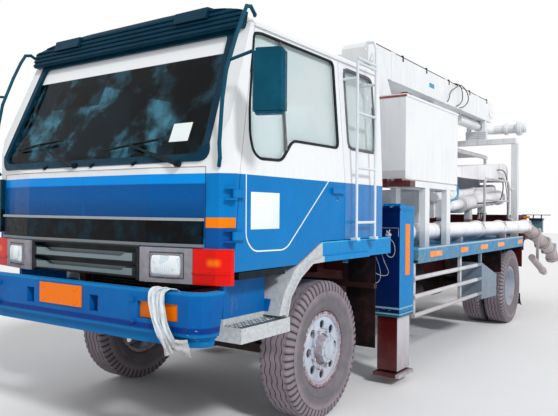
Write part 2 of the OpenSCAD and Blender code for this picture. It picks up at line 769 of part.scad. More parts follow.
// Ring of the bumper in plan, drawn in by d, between two heights
module bumper_ring(d, z0, z1) {
    f = cab_y - bumper_reach + d;
    w = cab_w / 2 + 10 - d;
    t = 60;
    prism_z([
        [-w, f + 330 - d], [-w, f + 110], [-w + 26, f + 60], [-w + 90, f + 22], [-700, f], [700, f], [w - 90, f + 22],
        [w - 26, f + 60], [w, f + 110], [w, f + 330 - d], [w - t, f + 330 - d], [w - t, f + 130], [w - 120, f + 80],
        [700, f + t], [-700, f + t], [-w + 120, f + 80], [-w + t, f + 130], [-w + t, f + 330 - d]
    ], z0, z1);
}

module bumper() {
    color([0.05, 0.25, 0.65]) {
        difference() {
            union() {
                bumper_ring(0, 852, 1100);
                bumper_ring(14, 836, 853);
                bumper_ring(26, 790, 837);
            }
            for (x = [-370, 290])
                block([x, x + 80], [-overall_l, cab_y], [930, 1030]);
            for (x = [-1030, 720])
                block([x, x + 310], [-overall_l, cab_y - bumper_reach + 40], [930, 1030]);
            both_sides() prism_x([[cab_y - 20, 700], [cab_y + 60, 1101], [cab_y + 400, 1101], [cab_y + 400, 700]], cab_w / 2 - 120, cab_w);
        }
        both_sides() {
            block([frame_w / 2 - 70, frame_w / 2], [cab_y - bumper_reach + 59, cab_y + 60 - seat], [850, 960]);
        }
    }
}

// Mirror heads on their tube arms
module mirrors() {
    c = [1450, cab_y + 130, 2295];
    x = cab_roof_w / 2 + 42;
    stay = [for (p = [[1124, 85, 1824], [x, 60, 1870], [x, 54, 1955], [x, 76, 2209], [x, 110, 2390], [x, 201, 2618],
                      [x, 266, 2755], [x - 4, 305, 2822], [x - 8, 352, 2832], [x - 20, 410, 2800], [x - 58, 459, 2812]])
        [p[0], cab_y + p[1], p[2]]];
    color([0.05, 0.09, 0.1]) both_sides() {
        tube(stay, 12);
        tube([[x, cab_y + 137, 2455], [c[0] - 110, c[1] - 20, 2475], [c[0] - 40, c[1], 2440]], 10);
        translate(c) rotate([0, 0, 20]) {
            prism_z([[-95, -12], [-80, -40], [80, -40], [95, -12], [95, 34], [-95, 34]], -168, 168);
            prism_z([[-80, -12], [-66, -34], [66, -34], [80, -12], [80, 34], [-80, 34]], -186, 186);
        }
    }
}

// Ladder on the cab side, behind the left door
module ladder() {
    x = cab_w / 2 + 60;
    y = [cab_y + 1580, cab_y + 1900];
    foot = arch_z - door_gap + seat;
    r = 11;
    roof_x = cab_roof_w / 2 + 13.6;
    color([0.85, 0.9, 0.93]) union() {
        bar([x, y[0], foot + 18], [x, y[0], 2730], r);
        tube([[x, y[1], foot + 18], [x, y[1], 2900], [x - 20, y[1], 2950], [x - 70, y[1], 2958], [x - 100, y[1], 2915],
              [x - 100, y[1], 2895]], r);
        for (p = y) {
            block([x - 35, x + 20], [p - 25, p + 25], [foot, foot + 20]);
            bar([x, p, 2600], [roof_x, p, 2600], r);
        }
        for (h = [1480 : 425 : 2800])
            bar([x, y[0], h], [x, y[1], h], r);
        bar([x, y[0], 2720], [x, y[1], 2720], r);
    }
}

// Wheel arches, steps and mud flaps of the front wheels
module fenders() {
    w = cab_w / 2;
    y = cab_y;
    inner = w - 290;
    color([0.6, 0.63, 0.65]) both_sides() {
        block([inner, w + 5], [y + 1150, y + 2330], [arch_z - 145, arch_z - door_gap]);
        prism_x([[y + 1151, arch_z - 14], [y + 970, 1252], [y + 830, 1187], [y + 800, 1166], [y + 680, 1030], [y + 620, 880],
                 [y + 700, 880], [y + 740, 1000], [y + 850, 1110], [y + 1010, 1200], [y + 1151, arch_z - 145]],
                inner, w + 5);
        prism_x([[y + 1010, 1196], [y + 850, 1106], [y + 740, 996], [y + 700, 870], [y + 690, 870], [y + 728, 1000],
                 [y + 842, 1118], [y + 1000, 1210], [y + 1151, 1240], [y + 1890, 1240], [y + 1890, 1200], [y + 1151, 1200]],
                w + 4, w + 22);
        block([w - 160, w - 130], [y + 215, y + 640], [859, floor_z - seat]);
        for (p = [y + 1580, y + 1900])
            block([w + 4, w + 82], [p - 30, p + 30], [arch_z - 20, arch_z - door_gap]);
        block([inner, w + 10], [y + 215, y + 740], [765, 860]);
        block([inner, inner + 60], [y + 620, y + 700], [850, 950]);
        block([frame_w / 2 + seat, inner + 30], [y + 2000, y + 2050], [frame_z - 60, frame_z - 10]);
        block([inner, inner + 30], [y + 2000, y + 2050], [frame_z - 60, arch_z - 140]);
        block([inner, w + 10], [y + 2000, y + 2050], [frame_z - 60, frame_z - 20]);
        block([frame_w / 2 + 160 + seat, inner + 30], [y + 260, y + 320], [frame_z - 180, frame_z - 130]);
    }
}

// Rubber flaps behind the front and the rear wheels
module mud_flaps() {
    w = cab_w / 2;
    color([0.05, 0.05, 0.05]) both_sides() {
        block([w - 280, w - 5], [cab_y + 2050 + seat, cab_y + 2062], [420, arch_z - 146]);
        block([620, deck_w / 2 - 105], [cab_y + 7046, cab_y + 7058 - seat], [190, 800]);
        block([620, deck_w / 2 - 25], [cab_y + 5930 + seat, cab_y + 5942], [760, deck_z - 140]);
    }
}

// Pump, deck and outriggers

// Length over the pump's own frame
pump_frame_y = [cab_y + 2380, frame_y1];

// Place of the two pressure vessels on the outrigger box, from the middle of the jacks
vessel_at = [620, 70];

// Thickness of the wear pads that guide the sliding sections
pad = slide_gap - seat;

module pump_frame() {
    x = frame_w / 2;
    beam = jack_l - 2 * 40;
    color([0.32, 0.05, 0.04]) difference() {
        union() {
            both_sides() block([x - 90, x], pump_frame_y, [frame_z + seat, frame_z + 115]);
            for (y = [pump_frame_y[0] + 50, column_y - 450, column_y + 450, deck_y1, pump_frame_y[1] - 50])
                block([-x + 1, x - 1], [y - 50, y + 50], [frame_z + seat + 5, frame_z + 110]);
            block([-880, 880], [jack_y - beam / 2 - 15, jack_y + beam / 2 + 15], [frame_z + 20, frame_z + 320]);
            translate([0, column_y, frame_z + 100]) cylinder(h = 1180, r = 300);
            block([-x, x], [column_y - 430, column_y + 430], [frame_z + 110, frame_z + 160]);
            translate([0, column_y, frame_z + 1270]) cylinder(h = 60, r = 350);
            both_sides() {
                translate([vessel_at[0], jack_y + vessel_at[1], frame_z + 319]) cylinder(h = 560, r = 62);
                translate([vessel_at[0], jack_y + vessel_at[1], frame_z + 878]) sphere(r = 61);
                translate([vessel_at[0], jack_y + vessel_at[1], frame_z + 930]) cylinder(h = 36, r = 22);
            }
            for (a = [0 : 45 : 315])
                translate([0, column_y, 0]) rotate([0, 0, a])
                    prism_y([[290, frame_z + 160], [430, frame_z + 160], [305, frame_z + 420], [290, frame_z + 420]], -8, 8);
            for (y = [7060, 5900])
                block([-deck_w / 2 + 20, deck_w / 2 - 20], [cab_y + y, cab_y + y + 30], [deck_z - 165, deck_z - 135]);
            both_sides() block([930, deck_w / 2 - 20], [cab_y + 7058, cab_y + 7070], [760, deck_z - 104]);
        }
        block([-840, 840], [jack_y - beam / 2, jack_y + beam / 2], [frame_z + 35, frame_z + 305]);
        block([-900, 900], [jack_y - beam / 2 + pad, jack_y + beam / 2 - pad], [frame_z + 35 + pad, frame_z + 305 - pad]);
    }
}

// Outrigger beam with its jack housing, slides out sideways
module outrigger(side) {
    x = deck_w / 2 + 20;
    beam = jack_l - 2 * 40;
    g = slide_gap;
    z0 = frame_z + 35 + g;
    z1 = frame_z + 305 - g;
    color([0.04, 0.12, 0.45]) mirror([side < 0 ? 1 : 0, 0, 0]) difference() {
        union() {
            block([x - jack_w, x], [jack_y - jack_l / 2, jack_y + jack_l / 2], [jack_z0, jack_z1]);
            for (z = [jack_z0 + 20, jack_z0 + 70, jack_z1 - 40])
                block([x - jack_w - 7, x + 7], [jack_y - jack_l / 2 - 7, jack_y + jack_l / 2 + 7], [z, z + 14]);
            block([x - jack_w + 40, x - 40], [jack_y - 60, jack_y + 60], [jack_z1 - 1, jack_z1 + 22]);
            block([20, x - jack_w + 1], [jack_y - beam / 2 + g, jack_y + beam / 2 - g], [z0, z1]);
            block([20, 120], [jack_y - beam / 2 + seat, jack_y + beam / 2 - seat], [z0 - pad, z1 + pad]);
        }
        block([x - jack_w + 20, x - 20], [jack_y - jack_l / 2 + 20, jack_y + jack_l / 2 - 20], [jack_z0 - 1, jack_z1 - 30]);
    }
}

// Inner leg of a jack with its foot
module jack(side) {
    x = deck_w / 2 + 20 - jack_w / 2;
    w = jack_w / 2 - 20 - slide_gap;
    l = jack_l / 2 - 20 - slide_gap;
    color([0.4, 0.06, 0.05]) mirror([side < 0 ? 1 : 0, 0, 0]) union() {
        block([x - w, x + w], [jack_y - l, jack_y + l], [130, 1250]);
        for (z = [980, 1180])
            block([x - w - pad, x + w + pad], [jack_y - l - pad, jack_y + l + pad], [z, z + 60]);
        block([x - w - 30, x + w + 30], [jack_y - l - 30, jack_y + l + 30], [75, 105]);
        translate([x, jack_y, 104]) cylinder(h = 27, r = 55);
    }
}

module deck() {
    w = deck_w / 2;
    z0 = frame_z + 116 + seat;
    hole = 470;
    color([0.1, 0.3, 0.5]) union() {
        difference() {
            block([-w + 1, w - 1], [deck_y0, deck_y1], [deck_z - 6, deck_z]);
            block([-hole, hole], [column_y - hole, column_y + hole], [deck_z - 10, deck_z + 10]);
        }
        both_sides() prism_y([
            [w, deck_z + 20 - side_rail_h], [w, deck_z + 20], [w - 6, deck_z + 20],
            [w - 6, deck_z - 3], [w - 6, deck_z + 26 - side_rail_h], [w - 60, deck_z + 26 - side_rail_h],
            [w - 60, deck_z + 20 - side_rail_h]
        ], deck_y0, deck_y1);
        for (y = [deck_y0 : (deck_y1 - deck_y0 - 60) / 6 : deck_y1 - 60])
            if (abs(y + 30 - column_y) > hole + 40)
                block([-w + 3, w - 3], [y, y + 60], [z0, deck_z - 5]);
    }
}

module side_guards() {
    x = deck_w / 2 - 20;
    y0 = cab_y + 2880;
    y1 = cab_y + 5010;
    r = 22;
    color([0.6, 0.61, 0.62]) both_sides() {
        for (z = [575, 755, 930])
            bar_y(x, [y0, y1 + 1], z, r);
        for (y = [y0 + 60, cab_y + 4300])
            block([x - 50, x - 20], [y, y + 50], [545, deck_z - side_rail_h + 20 - seat]);
        prism_x([[y1, 500], [y1 + 640, 480], [y1 + 640, 760], [y1, 950]], x - 260, x + 15);
        block([x - 35, x - 5], [y1 + 10, y1 + 60], [900, deck_z - side_rail_h + 20 - seat]);
        for (z = [575, 755, 930], y = [y0 + 60, cab_y + 4300])
            block([x - 21, x - 10], [y, y + 50], [z - 15, z + 15]);
    }
}

tank_x = [690, 990];
tank_z = [1900, 2755];
tank_y = [cab_y + 3120, cab_y + 4680];
// Outer edges of the stand under a tank, its beams and its legs
stand_x = [655, 1050];
stand_z = [1820, 1880];
stand_leg = [60, 122];
stand_leg_y = [tank_y[0] + 387, tank_y[0] + 1034];

// Water tank and oil tank on their stands
module water_tanks() {
    color([0.93, 0.94, 0.95]) both_sides() union() {
        block(tank_x, tank_y, tank_z);
        block([tank_x[0] - 8, tank_x[1] + 8], [tank_y[0] - 8, tank_y[1] + 8], [tank_z[1] - 24, tank_z[1]]);
        for (x = [tank_x[0] + 30, tank_x[1] - 110])
            block([x, x + 80], [tank_y[0] - 30, tank_y[1] - 20], [stand_z[1] - 1, tank_z[0] + 1]);
        translate([(tank_x[0] + tank_x[1]) / 2, tank_y[0] + 300, tank_z[1] - 1]) cylinder(h = 22, r = 90);
        for (x = [stand_x[0], stand_x[1] - 90])
            block([x, x + 90], [tank_y[0] - 20, tank_y[1] - 200], stand_z);
        for (y = concat([tank_y[0] - 19, tank_y[1] - 301], stand_leg_y))
            block([stand_x[0] + 1, stand_x[1] - 1], [y, y + 100], [stand_z[0] + 1, stand_z[1] - 1]);
        for (x = [stand_x[0] + 2, stand_x[1] - stand_leg[0] - 2], y = stand_leg_y)
            block([x, x + stand_leg[0]], [y, y + stand_leg[1]], [deck_z + seat, stand_z[0] + 2]);
    }
}

// Slewing turret

// Middle of the first boom section across the truck
boom_1_x = 250;
root_y = column_y - 210;
turret_z = frame_z + 1330;
root_pin_r = 45;
luff_base = [boom_1_x, column_y + 290, 2850];
luff_eye = [boom_1_x, column_y + 1890, 3035];
luff_pin_r = 28;
cheek_t = 40;

module turret() {
    x0 = boom_1_x - boom_w / 2 - 8;
    x1 = boom_1_x + boom_w / 2 + 8;
    color([0.42, 0.06, 0.05]) difference() {
        union() {
            translate([0, column_y, turret_z + seat]) cylinder(h = 480, r = 330);
            block([-300, x1 + cheek_t], [column_y - 330, column_y + 200], [2785, 2860]);
            for (x = [x0 - cheek_t, x1])
                prism_x([[column_y - 330, 2859], [column_y + 190, 2859], [root_y + 110, root_z + 60],
                         [root_y + 50, root_z + 100], [root_y - 60, root_z + 100], [column_y - 330, root_z]],
                        x, x + cheek_t);
            bar_x([x0 - cheek_t, x1 + cheek_t], root_y, root_z, root_pin_r);
            for (x = [luff_base[0] - 100, luff_base[0] + 60])
                prism_x([[column_y + 150, 2786], [column_y + 330, 2800], [column_y + 345, 2850], [column_y + 300, 2895], [column_y + 150, 2859]],
                        x, x + 40);
            bar_x([luff_base[0] - 100, luff_base[0] + 100], luff_base[1], luff_base[2], luff_pin_r);
        }
    }
}

// Boom

hinge_1_y = root_y + boom_1_l;
hinge_1_z = boom_z + boom_h / 2;
hinge_2_y = hinge_1_y - boom_2_l;
boom_2_x = [-170, 60];
boom_3_x = [-400, -215];
boom_2_z = [boom_z + 20, boom_z + 290];
boom_3_z = [boom_z + 40, boom_z + 250];
hinge_pin_1_r = 45;
hinge_pin_2_r = 38;

// Box section with its root and tip rounded round two pins
module boom_box(x, y0, y1, z, pin_z) {
    difference() {
        union() {
            block(x, [y0, y1], z);
            bar_x(x, y0, pin_z, (z[1] - z[0]) / 2);
            bar_x(x, y1, pin_z, (z[1] - z[0]) / 2);
        }
    }
}

module boom_1() {
    x = [boom_1_x - boom_w / 2, boom_1_x + boom_w / 2];
    z = [boom_z, boom_z + boom_h];
    color([0.94, 0.95, 0.96]) difference() {
        union() {
            prism_x([[root_y - 150, z[0] + 90], [root_y, z[0]], [hinge_1_y + 60, z[0]], [hinge_1_y + 170, z[0] + 110],
                     [hinge_1_y + 120, z[1]], [root_y - 90, z[1]], [root_y - 150, z[1] - 60]], x[0], x[1]);
            for (s = [-1, 1])
                prism_x([[luff_eye[1] - 120, z[0] + 1], [luff_eye[1] - 50, 2975], [luff_eye[1] + 50, 2975], [luff_eye[1] + 120, z[0] + 1]],
                        boom_1_x + s * 80 - 18, boom_1_x + s * 80 + 18);
            for (s = [-1, 1])
                block([boom_1_x + s * 130 - 25, boom_1_x + s * 130 + 25], [column_y + 4000, column_y + 4100], [2932, z[0] + 1]);
            for (p = [[450, 560], [2250, 2330], [3700, 3780]])
                prism_x([[root_y + p[0], z[0] - 6], [root_y + p[1], z[0] - 6], [root_y + p[1], z[1] + 6], [root_y + p[0], z[1] + 6]],
                        x[0] - 6, x[1] + 6);
            for (y = [root_y + 900, root_y + 3100])
                block([boom_1_x - 12, boom_1_x + 12], [y, y + 110], [z[1] - 1, z[1] + 60]);
            bar_x([x[0] - 14, x[1] + 14], hinge_1_y, hinge_1_z, 95);
            bar_x([x[0] - 7.5, x[1] + 7.5], root_y, root_z, 90);
            bar_x([boom_2_x[0] - 30, x[0] + 1], hinge_1_y, hinge_1_z, hinge_pin_1_r);
            boom_pipes_1();
        }
        bar_x([x[0] - 8, x[1] + 8], root_y, root_z, root_pin_r + run);
    }
}

module boom_2() {
    color([0.94, 0.95, 0.96]) difference() {
        union() {
            boom_box(boom_2_x, hinge_2_y, hinge_1_y, boom_2_z, hinge_1_z - 10);
            bar_x([boom_3_x[0] - 25, boom_2_x[0] + 1], hinge_2_y, hinge_1_z - 10, hinge_pin_2_r);
            boom_pipes_2();
        }
        bar_x([boom_2_x[0] - 60, boom_2_x[1] + 60], hinge_1_y, hinge_1_z, hinge_pin_1_r + run);
    }
}

module boom_3() {
    tip_y = hinge_2_y + boom_3_l;
    color([0.94, 0.95, 0.96]) difference() {
        union() {
            prism_x([[hinge_2_y, boom_3_z[0]], [tip_y, boom_3_z[0] + 20], [tip_y, boom_3_z[1] - 70], [hinge_2_y, boom_3_z[1]]],
                    boom_3_x[0], boom_3_x[1]);
            bar_x(boom_3_x, hinge_2_y, (boom_3_z[0] + boom_3_z[1]) / 2, (boom_3_z[1] - boom_3_z[0]) / 2);
            boom_pipes_3();
        }
        bar_x([boom_3_x[0] - 1, boom_3_x[1] + 1], hinge_2_y, hinge_1_z - 10, hinge_pin_2_r + run);
    }
}

// Pipe under the first section, with the swivel branch at its rear hinge
module boom_pipes_1() {
    z = boom_z - boom_pipe_r - 20;
    y0 = column_y + 3050;
    y1 = hinge_1_y + 260;
    r = boom_pipe_r + 12;
    union() {
        bar_y(boom_1_x, [y0, y1 + 3], z, r);
        for (y = [y0 + 40, y1 - 420])
            block([boom_1_x - 40, boom_1_x + 40], [y, y + 60], [z, boom_z + 1]);
        translate([boom_1_x + 150, y1, z]) bend(150, r, 90, 180);
        bar_x([boom_1_x + 147, boom_1_x + 640], y1 + 150, z, r);
        bar_x([boom_1_x + 300, boom_1_x + 350], y1 + 150, z, r + 22);
        bar_x([boom_1_x + 500, boom_1_x + 580], y1 + 150, z, r + 34);
        bar_x([boom_1_x + 525, boom_1_x + 555], y1 + 150, z, r + 46);
        bar_x([boom_1_x + 639, boom_1_x + 660], y1 + 150, z, r - 14);
        bar_y(boom_1_x, [y0 + 700, y0 + 740], z, r + 14);
    }
}

module boom_pipes_2() {
    x = boom_2_x[1] - 80;
    z = boom_2_z[1] + boom_pipe_r + 25;
    r = boom_pipe_r;
    union() {
        bar_y(x, [hinge_2_y + 60, hinge_1_y - 200], z, r);
        for (y = [hinge_2_y + 120, hinge_2_y + 1900, hinge_1_y - 280])
            bar_y(x, [y, y + 40], z, r + 14);
        for (y = [hinge_2_y + 300, hinge_1_y - 500])
            block([x - 40, x + 40], [y, y + 60], [boom_2_z[1] - 1, z]);
    }
}

module boom_pipes_3() {
    x = (boom_3_x[0] + boom_3_x[1]) / 2;
    z = boom_3_z[1] + boom_pipe_r + 25;
    r = boom_pipe_r;
    tip_y = hinge_2_y + boom_3_l;
    union() {
        difference() {
            union() {
                bar_y(x, [hinge_2_y + 60, tip_y + 230], z, r);
                bar_y(x, [tip_y + 180, tip_y + 222], z, r + 14);
                bar_y(x, [hinge_2_y + 1600, hinge_2_y + 1640], z, r + 14);
            }
            bar_y(x, [tip_y + 130, tip_y + 231], z, r - pipe_wall);
        }
        block([x - 40, x + 40], [hinge_2_y + 100, hinge_2_y + 160], [boom_3_z[1] - 20, z]);
        block([x - 40, x + 40], [tip_y - 160, tip_y - 100], [boom_3_z[1] - 80, z]);
    }
}

// Luffing cylinder under the first section
luff_dir = luff_eye - luff_base;
luff_len = norm(luff_dir);
luff_tilt = atan2(luff_dir[2], luff_dir[1]);

// A shape drawn along Y from the base pin, laid along the cylinder
module on_luff() {
    translate(luff_base) rotate([luff_tilt, 0, 0]) children();
}

module luff_barrel() {
    l = luff_len - 210;
    color([0.94, 0.95, 0.96]) on_luff() difference() {
        union() {
            bar_x([-58, 58], 0, 0, 54);
            rotate([-90, 0, 0]) cylinder(h = 86, r = 44);
            translate([0, 85, 0]) rotate([-90, 0, 0]) cylinder(h = l - 85, r = 70);
            translate([0, l - 50, 0]) rotate([-90, 0, 0]) cylinder(h = 50, r = 78);
            translate([0, 85, 0]) rotate([-90, 0, 0]) cylinder(h = 30, r = 78);
        }
        bar_x([-60, 60], 0, 0, luff_pin_r + run);
        translate([0, 120, 0]) rotate([-90, 0, 0]) cylinder(h = l, r = 38 + run);
    }
}

module luff_rod() {
    color([0.75, 0.77, 0.8]) on_luff() union() {
        translate([0, 180, 0]) rotate([-90, 0, 0]) cylinder(h = luff_len - 200, r = 38);
        difference() {
            bar_x([-58, 58], luff_len, 0, 52);
            bar_x([-60, 60], luff_len, 0, luff_pin_r + run);
        }
    }
}

// Concrete pipe along the left edge of the deck, which falls away outwards behind it
pipe_x = 1050;
pipe_z = 1345;
pipe_front_x = 808;
pipe_y = [cab_y + 2840, deck_y1 + 700];
pipe_wall = 7;
small_pipe_r = 52;
// Slope, turn and length of the falling end, and the slope of its mouth
drop_a = 22;
drop_turn = 10;
low_l = 1000;
mouth_a = 58;
mouth_l = 130;
pipe_reach = 300;
mouth_reach = 190;
mouth_bend = [
    pipe_x,
    pipe_y[1] + pipe_reach * sin(drop_a) + low_l * cos(drop_a) - mouth_reach * sin(drop_a),
    pipe_z - pipe_reach * (1 - cos(drop_a)) - low_l * sin(drop_a) - mouth_reach * cos(drop_a)
];
mouth = [pipe_x, mouth_bend[1] + mouth_reach * sin(mouth_a), mouth_bend[2] + mouth_reach * cos(mouth_a)];

// Point on the middle of the deck's pipe at a distance from its front end
function pipe_at(l) = let (t = l / (pipe_y[1] - pipe_y[0]))
    [pipe_front_x + t * (pipe_x - pipe_front_x), pipe_y[0] + l, pipe_z];

module delivery_pipe() {
    y1 = pipe_y[1];
    l = y1 - pipe_y[0];
    r = pipe_r;
    slope = [pipe_x, y1 + pipe_reach * sin(drop_a), pipe_z - pipe_reach * (1 - cos(drop_a))];
    small = [[pipe_x + 150, y1 - 140, 870], [pipe_x + 150, y1 + 750, 570]];
    color([0.85, 0.87, 0.88]) difference() {
        union() {
            bar(pipe_at(0), pipe_at(l + 3), r);
            for (p = [60, 1500, 2700, 3600, l - 60])
                bar(pipe_at(p), pipe_at(p + 60), r + 18);
            for (p = [360, 2060, 3760])
                translate(pipe_at(p) - [60, 0, pipe_z]) block([0, 120], [0, 60], [deck_z + seat, pipe_z]);
            on_fall() {
                translate([pipe_x, y1, pipe_z - pipe_reach]) rotate([90, 0, 90]) bend(pipe_reach, r, 90 - drop_a, 90);
                translate(slope) rotate([-90 - drop_a, 0, 0]) {
                    translate([0, 0, -3]) cylinder(h = low_l + 6, r = r);
                    for (z = [240, 640, 700, low_l - 50])
                        translate([0, 0, z]) cylinder(h = 40, r = r + 16);
                }
                translate(mouth_bend) rotate([90, 0, 90]) bend(mouth_reach, r, 90 - mouth_a, 90 - drop_a);
                translate(mouth) rotate([-90 - mouth_a, 0, 0]) {
                    translate([0, 0, -3]) cylinder(h = mouth_l + 3, r = r);
                    translate([0, 0, mouth_l - 55]) cylinder(h = 45, r = r + 18);
                }
            }
            block([pipe_x + 100, pipe_x + 140], [y1 + 380, y1 + 420], [700, 1160]);
            bar(small[0], small[1], small_pipe_r);
            bar(small[0] + 0.85 * (small[1] - small[0]), small[0] + 0.9 * (small[1] - small[0]), small_pipe_r + 10);
        }
        bar(pipe_at(-1), pipe_at(200), r - pipe_wall);
        bar(small[0] + 0.8 * (small[1] - small[0]), small[1] + 0.1 * (small[1] - small[0]), small_pipe_r - pipe_wall);
        on_fall() translate(mouth) rotate([-90 - mouth_a, 0, 0])
            translate([0, 0, mouth_l - 110]) cylinder(h = 120, r = r - pipe_wall);
    }
}

// Turns the falling end of the deck's pipe outwards
module on_fall() {
    translate([pipe_x, pipe_y[1], 0]) rotate([0, 0, -drop_turn]) translate([-pipe_x, -pipe_y[1], 0]) children();
}

// Front end of the pump, behind the front panel, its height there and its rise to the rear
pump_at = 5000;
pump_z = 1615;
pump_x = 640;
pump_tilt = 4.2;
hood_z = 2030;
hood_w = 750;
// Rise of the hood's top for each mm to the rear
hood_rise = 0.085;

// Pump cylinders with their water box, the oil pipes over them and the hood on top
module pump_unit() {
    y0 = cab_y + pump_at;
    x = pump_x;
    r = cylinder_r;
    l = cylinder_l;
    hood_y = [300, 2900];
    color([0.9, 0.91, 0.93]) translate([0, y0, pump_z]) rotate([pump_tilt, 0, 0]) union() {
        for (s = [-x, x]) {
            bar_y(s, [0, 820], 0, r - 28);
            bar_y(s, [819, l + 851], 0, r);
            for (y = [0, 790, l + 800])
                bar_y(s, [y, y + 36], 0, r + 22);
            bar_y(s * 0.95, [-60, l + 600], 145, 58);
            for (y = [500, 1500, l + 560])
                bar_y(s * 0.95, [y, y + 40], 145, 70);
        }
        for (y = [-40, 800, l + 700])
            block([-x + r / 2, x - r / 2], [y, y + 40], [-120, 215]);
        block([-x + 60, x - 60], [821, 1150], [-100, 200]);
    }
    color([0.9, 0.91, 0.93]) {
        difference() {
            hood(0);
            hood(10);
            block([-hood_w, hood_w], [y0 + hood_y[0] - 10, y0 + 2000], [hood_z - 30, hood_z + 8]);
        }
        for (y = [760, 2560])
            block([-hood_w / 2, hood_w / 2], [y0 + y, y0 + y + 60], [pump_z + 180, hood_z + 134 + (y - 360) * hood_rise]);
    }
    color([0.32, 0.05, 0.04]) both_sides() for (y = [y0 + 60, y0 + 1180, y0 + 1800])
        prism_x([[y, deck_z + seat], [y + 160, deck_z + seat], [y + 130, pump_z - r + 40 + (y - y0) * sin(pump_tilt)],
                 [y + 30, pump_z - r + 36 + (y - y0) * sin(pump_tilt)]], x - 60, x + 20);
}

// Hood over the pump, rounded at its rear, drawn in by d
module hood(d) {
    y0 = cab_y + pump_at + 300 + d;
    y1 = cab_y + pump_at + 2900 - d;
    prism_x([[y0, hood_z + (d > 0 ? -40 : 0)], [y1, hood_z + (d > 0 ? -40 : 40)], [y1, hood_z + 190], [y1 - 35, hood_z + 275 - d],
             [y1 - 110, hood_z + 322 - d], [y1 - 220, hood_z + 138 + 2320 * hood_rise - d], [y0 + 60, hood_z + 138 - d], [y0, hood_z + 90 - d]],
            -hood_w + d, hood_w - d);
}

// Hopper's front and rear rims
hopper_y = [rear_end_y - 1230, rear_end_y];
grate_hinge = [hopper_y[0] - 22, hopper_z + 16];
grate_pin_r = 8;

module hopper() {
    w = hopper_w / 2;
    y = hopper_y;
    z0 = 900;
    t = 12;
    color([0.45, 0.08, 0.06]) difference() {
        union() {
            prism_x([[y[0], hopper_z], [y[0] + 40, 1180], [y[0] + 330, z0], [y[1] - 350, z0], [y[1] - 40, 1180], [y[1], hopper_z]], -w, w);
            bar_x([-w - 60, w + 60], y[0] + 575, z0 + 260, 90);
            both_sides() {
                block([frame_w / 2 - 80, frame_w / 2], [frame_y1 + seat, y[0] + 250], [frame_z - 5, frame_z + 110]);
                block([w - 1, tail_x[0] - seat], [tail_y + 10, tail_y + 60], [1240, 1290]);
                block([w - 1, w + 8], [y[0] + 150, y[1] - 300], [hopper_z - 200, hopper_z - 20]);
                for (p = [y[0] + 300, y[0] + 800])
                    prism_x([[p, z0 + 10], [p + 14, z0 + 10], [p + 14, hopper_z - 30], [p, hopper_z - 30]], w - 1, w + 45);
                bar_x([w + 59, w + 130], y[0] + 575, z0 + 260, 60);
                prism_x([[y[0] + 10, hopper_z - 60], [y[0] + 10, hopper_z - 3], [grate_hinge[0] + 11, hopper_z - 3],
                         [grate_hinge[0] + 11, hopper_z + 25], [grate_hinge[0] - 11, hopper_z + 25], [grate_hinge[0] - 11, hopper_z - 20]],
                        552, 572);
                bar_x([500, 560], grate_hinge[0], grate_hinge[1], grate_pin_r);
            }
        }
        prism_x([[y[0] + t, hopper_z + 1], [y[0] + 40 + t, 1185], [y[0] + 335, z0 + t], [y[1] - 355, z0 + t], [y[1] - 40 - t, 1185], [y[1] - t, hopper_z + 1]],
                -w + t, w - t);
    }
}

module hopper_grate() {
    w = hopper_w / 2;
    y = [hopper_y[0], hopper_y[1] - seat];
    z = hopper_z + seat;
    n = 9;
    color([0.25, 0.25, 0.26]) difference() {
        union() {
            for (x = [-w, w - 24])
                block([x, x + 24], y, [z, z + 30]);
            for (p = [y[0], y[1] - 24])
                block([-w, w], [p, p + 24], [z, z + 30]);
            for (i = [1 : n])
                block([-w + i * 2 * w / (n + 1) - 6, -w + i * 2 * w / (n + 1) + 6], y, [z + 4, z + 26]);
            for (x = [-540, 380]) {
                bar_x([x, x + 160], grate_hinge[0], grate_hinge[1], 15);
                block([x, x + 160], [grate_hinge[0], y[0] + 1], [z + 4, z + 24]);
            }
        }
        bar_x([-w, w], grate_hinge[0], grate_hinge[1], grate_pin_r + run);
    }
}

